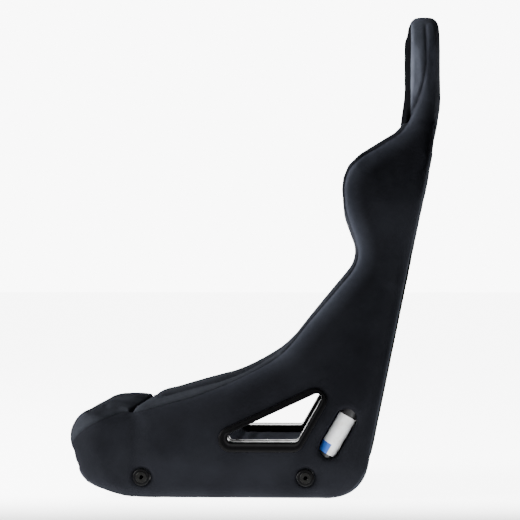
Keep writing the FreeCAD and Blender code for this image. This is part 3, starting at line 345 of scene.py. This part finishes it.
panelKnit = knitFinish("panelKnit", panelShadedTone, edged=True)
padKnit = knitFinish("padKnit", padLitTone)
insertKnit = knitFinish("insertKnit", seatLitTone)
headKnit = knitFinish("headKnit", padLitTone, frontShadeTone)
blackPlastic = mouldedPlastic()
liner = linerFinish()
finishes = {
    "frame_steel": coatedSteel(), "bush_steel": turnedSteel(), "guide_plastic": blackPlastic,
    "webbing": webbingFinish(), "cloth": liner, "knit": padKnit, "film": filmFinish(),
}
for part in frame["record"]["subparts"]:
    node = nodes[part["node"]]
    node.data.materials.clear()
    node.data.materials.append(finishes[part["material_slot"]])
print("finishes done")


# Soft pieces: each starts as a copy of its solids, swells under cloth pressure, then gets its seams

settle = {
    "voxel": 0.0045, "pressure": 4.0, "frames": 20, "hardReach": 0.014, "touchReach": 0.006,
    "relax": (0.5, -0.53), "lastRelax": 2, "quickShare": 0.6,
}


def points(mesh):
    flat = np.empty(len(mesh.vertices) * 3)
    mesh.vertices.foreach_get("co", flat)
    return flat.reshape(-1, 3)


def setPoints(mesh, where):
    mesh.vertices.foreach_set("co", where.ravel())
    mesh.update()


def normals(mesh):
    flat = np.empty(len(mesh.vertices) * 3)
    mesh.vertex_normals.foreach_get("vector", flat)
    return flat.reshape(-1, 3)


def smoothStep(value):
    value = np.clip(value, 0.0, 1.0)
    return value * value * (3.0 - 2.0 * value)


def copyOf(names):
    shell = bmesh.new()
    for name in names:
        part = nodes[name].data.copy()
        part.transform(nodes[name].matrix_world)
        shell.from_mesh(part)
        bpy.data.meshes.remove(part)
    mesh = bpy.data.meshes.new("shell")
    shell.to_mesh(mesh)
    shell.free()
    return mesh


def applied(obj):
    view = bpy.context.evaluated_depsgraph_get()
    mesh = bpy.data.meshes.new_from_object(obj.evaluated_get(view))
    obj.modifiers.clear()
    old = obj.data
    obj.data = mesh
    bpy.data.meshes.remove(old)


def relax(obj, rounds):
    # smooths a mesh without letting it shrink
    mesh = obj.data
    count = len(mesh.vertices)
    ends = np.empty(len(mesh.edges) * 2, dtype=np.int32)
    mesh.edges.foreach_get("vertices", ends)
    other = ends.reshape(-1, 2)[:, ::-1].ravel()
    valence = np.bincount(ends, minlength=count)[:, None]
    where = points(mesh)
    for step in range(rounds):
        for pull in settle["relax"]:
            total = np.stack([np.bincount(ends, where[other, axis], count) for axis in range(3)], axis=1)
            where += pull * (total / valence - where)
    setPoints(mesh, where)


def nearness(mesh, names, reach):
    # 1 on the named nodes' surfaces, fading to 0 at reach
    target = copyOf(names)
    tree = BVHTree.FromPolygons([v.co for v in target.vertices], [p.vertices for p in target.polygons])
    bpy.data.meshes.remove(target)
    found = [tree.find_nearest(v.co, reach)[3] for v in mesh.vertices]
    far = np.array([reach if distance is None else distance for distance in found])
    return 1.0 - smoothStep(far / reach)


def startPad(look):
    # a slightly smaller, softened copy of the solids, with the points near hard parts held
    pad = link(bpy.data.objects.new(look["name"], copyOf(look["shape"])))
    modifier = pad.modifiers.new("voxels", "REMESH")
    modifier.mode = "VOXEL"
    modifier.voxel_size = settle["voxel"]
    applied(pad)
    relax(pad, look["soften"])
    mesh = pad.data
    setPoints(mesh, points(mesh) - look["inset"] * normals(mesh))
    held = nearness(mesh, look["hard"], settle["hardReach"])
    held = np.maximum(held, nearness(mesh, look["touches"], settle["touchReach"]))
    look["pad"], look["held"], look["start"] = pad, held, points(mesh)
    group = pad.vertex_groups.new(name="held")
    for index, weight in enumerate(held):
        group.add([index], float(weight), "REPLACE")
    cloth = pad.modifiers.new("swell", "CLOTH")
    cloth.settings.use_pressure = True
    cloth.settings.uniform_pressure_force = settle["pressure"]
    cloth.settings.effector_weights.gravity = 0.0
    cloth.settings.vertex_group_mass = "held"
    cloth.point_cache.frame_end = settle["frames"]
    print("started", look["name"], len(mesh.vertices), "points")


def endPad(look):
    # caps how far each point has moved, then one subdivision
    pad = look["pad"]
    applied(pad)
    moved = points(pad.data) - look["start"]
    far = np.linalg.norm(moved, axis=1)[:, None]
    setPoints(pad.data, look["start"] + moved * np.minimum(1.0, look["cap"] / np.maximum(far, 1e-9)))
    pad.vertex_groups.clear()
    relax(pad, settle["lastRelax"])
    modifier = pad.modifiers.new("finer", "SUBSURF")
    modifier.levels = 1
    applied(pad)
    pad.data.materials.clear()
    pad.data.materials.append(look["finish"])
    pad.data.shade_smooth()
    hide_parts(*look["stands"])
    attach(pad, "root")


def bolsterLook(side):
    foam = [side + "_thigh_bolster", side + "_shoulder_bolster"]
    return {
        "name": side + "_bolster_pad", "shape": foam + [side + "_side_cover"], "stands": foam,
        "hard": [
            side + "_side_tube", side + "_lap_guide_outer", side + "_lap_guide_inner",
            "front_" + side + "_bush", "rear_" + side + "_bush",
            "front_" + side + "_collar", "rear_" + side + "_collar",
        ],
        "touches": ["seat_cushion", "back_cushion", "front_roll", "rear_cover"],
        "soften": 7, "inset": 0.0012, "cap": 0.0032, "fill": 0.8, "finish": padKnit,
    }


leftBolster = bolsterLook("left")
rightBolster = bolsterLook("right")
rollLook = {
    "name": "front_roll_pad", "shape": ["front_roll"], "stands": ["front_roll"],
    "hard": ["front_cross_tube", "left_side_tube", "right_side_tube"],
    "touches": ["seat_cushion", "left_thigh_bolster", "right_thigh_bolster"],
    "soften": 80, "inset": 0.002, "cap": 0.005, "fill": 0.7, "finish": padKnit,
}
seatLook = {
    "name": "seat_cushion_pad", "shape": ["seat_cushion"], "stands": ["seat_cushion"],
    "hard": ["crotch_guide_top", "crotch_guide_bottom", "left_lap_guide_inner", "right_lap_guide_inner"],
    "touches": ["front_roll", "left_thigh_bolster", "right_thigh_bolster", "back_cushion"],
    "soften": 8, "inset": 0.004, "cap": 0.009, "fill": 0.6, "finish": insertKnit,
}
backLook = {
    "name": "back_cushion_pad", "shape": ["back_cushion"], "stands": ["back_cushion"],
    "hard": ["left_harness_guide_front", "right_harness_guide_front"],
    "touches": [
        "left_shoulder_bolster", "right_shoulder_bolster", "left_thigh_bolster", "right_thigh_bolster",
        "rear_cover", "seat_cushion", "head_pad",
    ],
    "soften": 8, "inset": 0.004, "cap": 0.009, "fill": 0.6, "finish": insertKnit,
}
headLook = {
    "name": "head_and_back_knit", "shape": ["head_pad", "rear_cover"], "stands": ["head_pad", "rear_cover"],
    "hard": ["head_hoop", "left_harness_guide_rear", "right_harness_guide_rear"],
    "touches": ["back_cushion", "left_shoulder_bolster", "right_shoulder_bolster"],
    "soften": 24, "inset": 0.0012, "cap": 0.003, "fill": 0.8, "finish": headKnit,
}
pads = [leftBolster, rightBolster, rollLook, seatLook, backLook, headLook]
for look in pads:
    startPad(look)
for moment in range(1, settle["frames"] + 1):
    scene.frame_set(moment)
print("cloth settled")
for look in pads:
    endPad(look)
print("pads done")


# Flat geometry used by the sewn panels, the guides and the underside cloth

def smoothLine(corners, step=0.003):
    # a curve through the corners, with points about a step apart
    corners = [np.array(c, dtype=float) * mm for c in corners]
    last = len(corners) - 1
    path = []
    for i in range(last):
        p = [corners[min(max(i + k, 0), last)] for k in (-1, 0, 1, 2)]
        parts = max(1, int(round(np.linalg.norm(p[2] - p[1]) / step)))
        for t in np.arange(parts) / parts:
            linear = 2 * p[1] + (p[2] - p[0]) * t
            squared = (2 * p[0] - 5 * p[1] + 4 * p[2] - p[3]) * t * t
            cubed = (3 * p[1] - p[0] - 3 * p[2] + p[3]) * t ** 3
            path.append(0.5 * (linear + squared + cubed))
    path.append(corners[-1])
    return np.array(path)


def evenRing(corners, arcParts=8, sideParts=12):
    # corners are (across, up, radius); rings of any size have the same number of points
    arcs = []
    for i, (y, z, radius) in enumerate(corners):
        here = np.array((y, z))
        back = np.array(corners[i - 1][:2]) - here
        ahead = np.array(corners[(i + 1) % len(corners)][:2]) - here
        back, ahead = back / np.linalg.norm(back), ahead / np.linalg.norm(ahead)
        half = 0.5 * math.acos(float(np.clip(back @ ahead, -1.0, 1.0)))
        middle = (back + ahead) / np.linalg.norm(back + ahead)
        centre = here + middle * radius / math.sin(half)
        start = here + back * radius / math.tan(half) - centre
        stop = here + ahead * radius / math.tan(half) - centre
        sweep = math.copysign(math.pi - 2 * half, start[0] * stop[1] - start[1] * stop[0])
        angles = sweep * np.arange(arcParts + 1) / arcParts
        arcs.append(centre + np.column_stack([start[0] * np.cos(angles) - start[1] * np.sin(angles),
                                              start[0] * np.sin(angles) + start[1] * np.cos(angles)]))
    path = []
    for i, arc in enumerate(arcs):
        run = arcs[(i + 1) % len(arcs)][0] - arc[-1]
        path += [arc, arc[-1] + run * (np.arange(1, sideParts) / sideParts)[:, None]]
    return np.concatenate(path)


def spread(path, step):
    # extra points along a closed line so that no gap is much longer than step
    filled = []
    for here, ahead in zip(path, np.roll(path, -1, axis=0)):
        parts = max(1, int(np.linalg.norm(ahead - here) / step + 0.5))
        filled += [here + (ahead - here) * k / parts for k in range(parts)]
    return np.array(filled)


def farFrom(path, flat, closed=True):
    # distance of each flat point from a line
    starts = path if closed else path[:-1]
    ends = np.roll(path, -1, axis=0) if closed else path[1:]
    best = np.full(len(flat), 1e9)
    for a, b in zip(starts, ends):
        run = b - a
        t = np.clip(((flat - a) @ run) / max(run @ run, 1e-12), 0.0, 1.0)
        gap = flat - (a + t[:, None] * run)
        best = np.minimum(best, gap[:, 0] ** 2 + gap[:, 1] ** 2)
    return np.sqrt(best)


def within(path, flat):
    inside = np.zeros(len(flat), dtype=bool)
    for a, b in zip(path, np.roll(path, -1, axis=0)):
        crosses = (a[1] > flat[:, 1]) != (b[1] > flat[:, 1])
        with np.errstate(divide="ignore", invalid="ignore"):
            at = a[0] + (flat[:, 1] - a[1]) * (b[0] - a[0]) / (b[1] - a[1])
        inside ^= crosses & (flat[:, 0] < at)
    return inside


def rimEdges(rims):
    # index pairs that close each rim, for rims that are laid end to end
    edges, start = [], 0
    for rim in rims:
        edges += [(start + k, start + (k + 1) % len(rim)) for k in range(len(rim))]
        start += len(rim)
    return edges


def triangulated(flat, edges, isCloth):
    made = delaunay_2d_cdt([Vector(p) for p in flat], edges, [], 0, 1e-6)
    flat = np.array([tuple(p) for p in made[0]])
    faces = [tuple(f) for f in made[2]]
    keep = isCloth(np.array([flat[list(f)].mean(axis=0) for f in faces]))
    return flat, [f for f, good in zip(faces, keep) if good]


def meshPiece(name, places, faces, finish):
    mesh = bpy.data.meshes.new(name)
    mesh.from_pydata([tuple(p) for p in places], [], [tuple(f) for f in faces])
    mesh.materials.append(finish)
    mesh.shade_smooth()
    obj = link(bpy.data.objects.new(name, mesh))
    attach(obj, "root")
    return obj


# Side covers: one knit panel each from the nose to the headrest, tucked in along its seams

sidePanel = {
    # (y, z) in mm
    "seam": [
        (-322, 97), (-301, 117), (-275, 133), (-250, 143.5), (-228, 150.5), (-212, 151), (-195, 153.5),
        (-148, 166), (-90, 183), (-19.5, 212.5), (51, 253), (102, 311.5), (154.3, 372), (178, 401),
        (187, 422), (187, 440), (181, 462), (171, 492), (166, 512), (164, 543), (167, 562), (175.5, 580),
        (196, 600), (228, 620.5), (256, 640), (268, 652), (278, 667), (289, 690), (298, 713),
        (305.5, 739), (311, 773), (311.5, 805), (310.5, 846),
    ],
    "rear": [
        (320, 850), (326, 828), (328.5, 782), (327, 711), (321, 640), (312, 600), (286, 470), (244, 262),
        (209, 92), (203, 58), (192, 36), (175, 16), (154, 6), (130, 3.5), (0, 3), (-196, 2), (-214, 2.5),
        (-238, 6), (-264, 15), (-289, 31), (-307, 53), (-320, 75),
    ],
    "grid": 0.005, "bands": (0.0015, 0.003, 0.0055), "rimStep": 0.0035,
    "proud": 0.0012, "tuck": 0.0012, "roll": 0.009, "flush": 0.0002, "blend": 0.016,
    # the first three keys here set the painted highlight along the front seam
    "seamHighlight": 0.036, "highlightFrom": 0.1, "highlightRise": 0.3, "cutLean": 51.0,
}
# how the surface under the panels is read and evened out over the joints at the nose and the neck
reliefLook = {
    "cell": 0.003, "low": (-0.36, -0.02), "size": (0.74, 0.92), "castFrom": 0.5, "least": 0.09,
    "fill": (2, 6, 20, 60), "fillLeast": 0.02, "gentle": 2, "strong": 40, "groove": 7, "grooveBlur": 6,
    "noseY": -0.216, "noseWide": 0.022, "noseTop": 0.2,
    "neckLow": 0.57, "neckHigh": 0.73, "neckFade": 0.04, "neckFront": 0.1,
}
sink = {
    "depth": 0.0014, "near": 0.02, "least": 0.05, "outside": 0.0005,
    "groove": 0.0016, "grooveWide": 0.006, "fadeStart": 0.004, "fade": 0.012,
}
# the wings' front outline, which the foam behind it keeps to: (y, z) in mm
wing = {
    "line": [
        (184, 430), (181, 458.5), (168.5, 489.9), (163.5, 510.9), (160.8, 542.3), (163.0, 563.2),
        (171.4, 584.2), (192.3, 605.1), (223.5, 626), (255.0, 647), (266.0, 660), (273.5, 672.4),
        (278.5, 684),
    ],
    "fade": 0.03, "pull": 0.85,
}
lapOpening = {
    "sill": 0.0994, "rearY": 0.0807, "length": 0.151, "topAngle": 25.0, "rearAngle": 60.4,
    "coverGap": 0.005, "coverRound": 0.012,
}
windowFrame = {"centre": (0.1530, 0.115), "angle": 60.0, "length": 0.086, "width": 0.037, "round": 0.016}
mountPlace = {"ys": (-0.194, 0.096), "z": 0.037, "radius": 0.0146}

panelLine = smoothLine(sidePanel["seam"])
rearLine = smoothLine(sidePanel["rear"])
panelOutline = np.concatenate([panelLine, rearLine])


def lapCorners(sill, rear, top, radii):
    slope = math.tan(math.radians(lapOpening["rearAngle"]))
    climb = math.tan(math.radians(lapOpening["topAngle"]))
    frontY = lapOpening["rearY"] - lapOpening["length"]
    low = lapOpening["sill"] - sill
    rearFoot = lapOpening["rearY"] - lapOpening["sill"] / slope + rear / math.sin(math.atan(slope))
    topFoot = lapOpening["sill"] - frontY * climb + top / math.cos(math.atan(climb))
    peak = (rearFoot + topFoot / slope) / (1 - climb / slope)
    front, back, high = radii
    return [((low - topFoot) / climb, low, front), (rearFoot + low / slope, low, back),
            (peak, topFoot + peak * climb, high)]


def windowCorners():
    lean = math.radians(windowFrame["angle"])
    along = np.array((math.cos(lean), math.sin(lean)))
    over = np.array((along[1], -along[0]))
    half, wide = windowFrame["length"] / 2, windowFrame["width"] / 2
    centre = np.array(windowFrame["centre"])
    return [tuple(centre + a * half * along + b * wide * over) + (windowFrame["round"],)
            for a, b in ((-1, -1), (-1, 1), (1, 1), (1, -1))]


def circle(y, z, radius, count=24):
    turn = np.linspace(0, 2 * math.pi, count, endpoint=False)
    return np.column_stack([y + radius * np.cos(turn), z + radius * np.sin(turn)])


def blurred(field, rounds):
    for step in range(rounds):
        for axis in (0, 1):
            field = 0.5 * field + 0.25 * (np.roll(field, 1, axis) + np.roll(field, -1, axis))
    return field


def bridged(field, reach):
    # fills grooves narrower than twice the reach, and leaves the rest as it is
    for axis in (0, 1):
        shifts = range(-reach, reach + 1)
        field = np.max([np.roll(field, shift, axis) for shift in shifts], axis=0)
        field = np.min([np.roll(field, shift, axis) for shift in shifts], axis=0)
    return field


class Relief:
    # how far out the soft pieces reach at each (y, z), read on a grid and smoothed over their joints
    def __init__(self, objects, side):
        look = reliefLook
        self.side = side
        shell = bmesh.new()
        for obj in objects:
            shell.from_mesh(obj.data)
        tree = BVHTree.FromBMesh(shell)
        shell.free()
        self.cell = look["cell"]
        self.low = np.array(look["low"])
        count = [int(length / self.cell) for length in look["size"]]
        reach = np.zeros(count)
        for i in range(count[0]):
            for j in range(count[1]):
                y, z = self.low + self.cell * np.array((i, j))
                hit = tree.ray_cast(Vector((side * look["castFrom"], y, z)), Vector((-side, 0.0, 0.0)))[0]
                if hit is not None:
                    reach[i, j] = hit.x * side
        weight = (reach > look["least"]).astype(float)
        filled = reach * weight
        for rounds in look["fill"]:
            around = blurred(weight, rounds)
            soft = blurred(filled * weight, rounds) / np.maximum(around, 1e-6)
            fresh = (weight == 0) & (around > look["fillLeast"])
            filled = np.where(fresh, soft, filled)
            weight = np.maximum(weight, fresh)
        gentle = blurred(filled, look["gentle"])
        bridge = blurred(bridged(filled, look["groove"]), look["grooveBlur"])
        strong = np.maximum(blurred(filled, look["strong"]), bridge)
        ys = self.low[0] + self.cell * np.arange(count[0])[:, None]
        zs = self.low[1] + self.cell * np.arange(count[1])[None, :]
        nose = np.exp(-((ys - look["noseY"]) / look["noseWide"]) ** 2) * (zs < look["noseTop"])
        neck = (smoothStep((zs - look["neckLow"]) / look["neckFade"])
                * smoothStep((look["neckHigh"] - zs) / look["neckFade"]) * (ys > look["neckFront"]))
        self.field = gentle + np.maximum(nose, neck) * np.maximum(strong - gentle, 0.0)

    def at(self, flat):
        place = (np.asarray(flat) - self.low) / self.cell
        base = np.clip(np.floor(place).astype(int), 0, np.array(self.field.shape) - 2)
        u, v = (place - base).T
        i, j = base.T
        f = self.field
        return (f[i, j] * (1 - u) * (1 - v) + f[i + 1, j] * u * (1 - v)
                + f[i, j + 1] * (1 - u) * v + f[i + 1, j + 1] * u * v)

    def lift(self, flat, height):
        # points on the relief, raised along its own slope
        flat = np.asarray(flat)
        step = self.cell
        overY = (self.at(flat + (step, 0)) - self.at(flat - (step, 0))) / (2 * step)
        overZ = (self.at(flat + (0, step)) - self.at(flat - (0, step))) / (2 * step)
        out = np.stack([np.ones(len(flat)), -overY, -overZ], axis=1)
        out /= np.linalg.norm(out, axis=1)[:, None]
        places = np.column_stack([self.at(flat), flat]) + out * np.reshape(height, (-1, 1))
        places[:, 0] *= self.side
        return places


def sewnPanel(name, relief, holes):
    # triangles inside the outline, with its edges tucked down into the seam
    look = sidePanel
    rims = [spread(line, look["rimStep"]) for line in [panelOutline] + holes]
    low, high = panelOutline.min(axis=0), panelOutline.max(axis=0)
    step = look["grid"]
    rowStep = step * 0.866
    rows = []
    for row, z in enumerate(np.arange(low[1], high[1], rowStep)):
        ys = np.arange(low[0], high[0], step) + (step / 2 if row % 2 else 0.0)
        rows.append(np.column_stack([ys, np.full(len(ys), z)]))
    inner = np.concatenate(rows)
    # a finer band along every edge
    bands = []
    for rim in rims:
        run = np.roll(rim, -1, axis=0) - np.roll(rim, 1, axis=0)
        across = np.column_stack([run[:, 1], -run[:, 0]]) / np.linalg.norm(run, axis=1)[:, None]
        bands += [rim + way * offset * across for offset in look["bands"] for way in (-1, 1)]
    band = np.concatenate(bands)

    def sewnOn(flat):
        inside = within(rims[0], flat)
        for rim in rims[1:]:
            inside &= ~within(rim, flat)
        return inside

    def fromEdge(flat):
        return np.min([farFrom(rim, flat) for rim in rims], axis=0)

    inner = inner[sewnOn(inner)]
    inner = inner[fromEdge(inner) > max(look["bands"]) + step * 0.4]
    band = band[sewnOn(band)]
    band = band[fromEdge(band) > min(look["bands"]) * 0.8]
    flat, faces = triangulated(np.concatenate(rims + [band, inner]), rimEdges(rims), sewnOn)
    if relief.side < 0:
        faces = [f[::-1] for f in faces]
    # rolled under along the seam and the openings, flush where the knit runs on round the back and the nose
    seam = farFrom(panelLine, flat, closed=False)
    sewn = np.min([farFrom(rim, flat) for rim in rims[1:]] + [seam], axis=0)
    rest = farFrom(rearLine, flat, closed=False)
    height = look["flush"] + (look["proud"] - look["flush"]) * smoothStep(rest / look["blend"])
    height -= (height + look["tuck"]) * (1 - smoothStep(sewn / look["roll"])) ** 2
    panel = meshPiece(name, relief.lift(flat, height), faces, panelKnit)
    # painted highlight along the front seam, fading in toward the top
    rise = smoothStep((flat[:, 1] - look["highlightFrom"]) / look["highlightRise"])
    seamHighlight = (1 - smoothStep(seam / look["seamHighlight"])) * rise
    panel.data.attributes.new("seamHighlightMask", "FLOAT", "POINT").data.foreach_set("value", seamHighlight)
    return panel


def sinkUnder(pad, relief):
    # pulls the pad in under the panel, with a groove along the seam
    where = points(pad.data)
    flat = where[:, 1:]
    reach = relief.at(flat)
    out = where[:, 0] * relief.side
    index = np.nonzero((out > reach - sink["near"]) & (out > sink["least"]))[0]
    flat = flat[index]
    rest = farFrom(rearLine, flat, closed=False)
    seam = farFrom(panelLine, flat, closed=False)
    sunk = reach[index] - sink["depth"] * smoothStep(rest / sidePanel["blend"])
    limit = np.where(within(panelOutline, flat), sunk, np.maximum(sunk, reach[index] + sink["outside"]))
    fade = smoothStep((rest - sink["fadeStart"]) / sink["fade"])
    groove = sink["groove"] * (1 - smoothStep(seam / sink["grooveWide"])) * fade
    out[index] = np.minimum(out[index], limit) - groove
    where[index, 0] = out[index] * relief.side
    setPoints(pad.data, where)


wingLine = np.array(wing["line"]) * mm
for look in (leftBolster, rightBolster, backLook):
    where = points(look["pad"].data)
    front = np.interp(where[:, 2], wingLine[:, 1], wingLine[:, 0])
    ahead = (where[:, 1] < front) & (where[:, 2] > wingLine[0, 1]) & (where[:, 2] < wingLine[-1, 1])
    fade = smoothStep((where[:, 2] - wingLine[0, 1]) / wing["fade"])
    pulled = where[:, 1] + wing["pull"] * fade * (front - where[:, 1])
    where[:, 1] = np.where(ahead, pulled, where[:, 1])
    setPoints(look["pad"].data, where)

gap, rounding = lapOpening["coverGap"], lapOpening["coverRound"]
lapHole = evenRing(lapCorners(gap, gap, gap, (rounding, rounding, rounding)))
mountHoles = [circle(y, mountPlace["z"], mountPlace["radius"]) for y in mountPlace["ys"]]
windowHole = evenRing(windowCorners())
for side, word, bolster in ((1, "left", leftBolster), (-1, "right", rightBolster)):
    sides = [bolster["pad"], rollLook["pad"], headLook["pad"]]
    relief = Relief(sides, side)
    for pad in sides:
        sinkUnder(pad, relief)
    holes = [lapHole] + mountHoles + ([windowHole] if side > 0 else [])
    panel = sewnPanel(word + "_side_cover_knit", relief, holes)
    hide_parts(word + "_side_cover")
    print(panel.name, len(panel.data.vertices), "points")


# Belt guides: rounded lips swept round each opening

def ringPiece(name, cornersAt, profile, place, node):
    rings = [place(evenRing(cornersAt(grow)), out) for grow, out in profile]
    count = len(rings[0])
    faces = []
    for k in range(len(rings)):
        here, ahead = k * count, (k + 1) % len(rings) * count
        for i in range(count):
            j = (i + 1) % count
            faces.append((here + i, here + j, ahead + j, ahead + i))
    piece = meshPiece(name, np.concatenate(rings), faces, blackPlastic)
    shell = bmesh.new()
    shell.from_mesh(piece.data)
    bmesh.ops.recalc_face_normals(shell, faces=shell.faces)
    shell.to_mesh(piece.data)
    shell.free()
    piece.data.shade_smooth()
    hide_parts(node)


lapGuide = {
    "outer": (0.018, 0.0125, 0.0115), "inner": (0.0115, 0.0115, 0.0115),
    "outerFace": 0.212, "innerFace": 0.158, "hole": 0.008, "corner": (0.0222, 0.021, 0.022),
    # share of the flange's width, distance out from the side face
    "lip": [
        (0.0, -0.027), (0.0, -0.01), (0.0, 0.0012), (0.03, 0.0034), (0.1, 0.0047), (0.19, 0.0049),
        (0.27, 0.0041), (0.34, 0.0032), (0.48, 0.0031), (0.66, 0.0036), (0.84, 0.0034), (0.95, 0.0024),
        (1.0, 0.0008), (1.0, -0.0004), (0.8, -0.0012), (0.25, -0.0012), (0.16, -0.003), (0.16, -0.027),
    ],
}


def lapRing(flange):
    def cornersAt(share):
        radii = [lapGuide["hole"] + share * (corner - lapGuide["hole"]) for corner in lapGuide["corner"]]
        return lapCorners(*[share * width for width in flange], radii)
    return cornersAt


def lapPlace(side, face, way):
    def place(ring, out):
        return np.column_stack([np.full(len(ring), side * (face + way * out)), ring])
    return place


for side, word in ((1, "left"), (-1, "right")):
    for end, way in (("outer", 1), ("inner", -1)):
        ringPiece(word + "_lap_guide_" + end + "_moulding", lapRing(lapGuide[end]), lapGuide["lip"],
                  lapPlace(side, lapGuide[end + "Face"], way), word + "_lap_guide_" + end)


slotGuide = {
    "half": (0.031, 0.016), "round": 0.011, "flange": 0.009, "lean": 11.5,
    "centre": (0.058, 0.3170, 0.596), "through": 0.0745,
    # share of the flange's width, distance out from the cover
    "lip": [
        (0.0, -0.036), (0.0, -0.012), (0.0, 0.002), (0.04, 0.0036), (0.14, 0.0045), (0.3, 0.0046),
        (0.5, 0.0042), (0.75, 0.0036), (0.93, 0.0024), (1.0, 0.0008), (1.0, -0.0004), (0.8, -0.0012),
        (0.35, -0.0012), (0.27, -0.003), (0.27, -0.036),
    ],
}
slotTilt = math.radians(slotGuide["lean"])


def slotCorners(share):
    grow = share * slotGuide["flange"]
    a, b = slotGuide["half"][0] + grow, slotGuide["half"][1] + grow
    radius = slotGuide["round"] + grow
    return [(-a, -b, radius), (a, -b, radius), (a, b, radius), (-a, b, radius)]


def slotPlace(side, face, way):
    def place(ring, out):
        deep = way * out - face
        x, y, z = slotGuide["centre"]
        return np.column_stack([
            side * x + ring[:, 0],
            y + deep * math.cos(slotTilt) + ring[:, 1] * math.sin(slotTilt),
            z - deep * math.sin(slotTilt) + ring[:, 1] * math.cos(slotTilt),
        ])
    return place


for side, word in ((1, "left"), (-1, "right")):
    for end, face, way in (("rear", 0.0, 1), ("front", slotGuide["through"], -1)):
        ringPiece(word + "_harness_guide_" + end + "_moulding", slotCorners, slotGuide["lip"],
                  slotPlace(side, face, way), word + "_harness_guide_" + end)
print("guides done")


# Underside cloth: stapled flat under the cushion, with a little slack between its fixings

under = {
    "half": 0.1572, "front": -0.2132, "rear": 0.1302, "height": 0.0062, "grid": 0.006,
    "slot": (0.0376, 0.0136), "slotY": -0.136, "slotRound": 0.0106,
    "slack": 0.0011, "hem": 0.03, "even": 0.6, "wavy": 0.4, "waves": (38, 27), "shift": 0.6,
}
half, front, rear, step = under["half"], under["front"], under["rear"], under["grid"]
a, b = under["slot"]
low, high, rounding = under["slotY"] - b, under["slotY"] + b, under["slotRound"]
clothRim = np.array([(-half, front), (half, front), (half, rear), (-half, rear)])
slotRim = evenRing(
    [(-a, low, rounding), (a, low, rounding), (a, high, rounding), (-a, high, rounding)], 4, 6,
)
clothRim, slotRim = spread(clothRim, step), spread(slotRim, step)
xs = np.arange(-half + step, half - step / 2, step)
ys = np.arange(front + step, rear - step / 2, step)
inner = np.array([(x, y) for y in ys for x in xs])
inner = inner[~within(slotRim, inner) & (farFrom(slotRim, inner) > step / 2)]
flat, faces = triangulated(
    np.concatenate([clothRim, slotRim, inner]), rimEdges([clothRim, slotRim]),
    lambda middles: ~within(slotRim, middles),
)
hem = np.minimum(farFrom(clothRim, flat), farFrom(slotRim, flat))
overX, overY = under["waves"]
ripples = np.sin(flat[:, 0] * overX) * np.sin(flat[:, 1] * overY + under["shift"])
sag = smoothStep(hem / under["hem"]) * (under["even"] + under["wavy"] * ripples)
places = np.column_stack([flat, under["height"] - under["slack"] * sag])
cloth = meshPiece("underside_cloth_sheet", places, faces, liner)
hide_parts("underside_cloth")
flatSize = (2 * half, rear - front)
hole = 4 * a * b - (4 - math.pi) * rounding ** 2
flatSize[0] * flatSize[1] - hole
print("underside done")


# Floor: a painted glow, as from a table for product photographs lit from below, but only up to the seat's
# near side

floorLook = {
    "size": 60.0, "colour": rgb(0.86, 0.865, 0.87), "roughness": 0.75,
    "glow": 7.0, "glowEnd": 0.6, "glowStart": 0.15,
}
floorMesh = bpy.data.meshes.new("floor")
half = floorLook["size"] / 2
corners = [(-half, -half, 0), (half, -half, 0), (half, half, 0), (-half, half, 0)]
floorMesh.from_pydata(corners, [], [(0, 1, 2, 3)])
floor = link(bpy.data.objects.new("floor", floorMesh))
floorFinish = Finish("paleFloor")
lit = floorFinish.span(floorFinish.axes()[0], floorLook["glowEnd"], floorLook["glowStart"])
floorFinish.set(
    Base_Color=floorLook["colour"],
    Roughness=floorLook["roughness"],
    Emission_Color=floorFinish.mix(lit, rgb(0.0, 0.0, 0.0), rgb(1.0, 1.0, 1.0)),
    Emission_Strength=floorLook["glow"],
    Normal=floorFinish.bump(floorFinish.noise(220.0), 0.05, 0.0004),
)
floorMesh.materials.append(floorFinish.material)
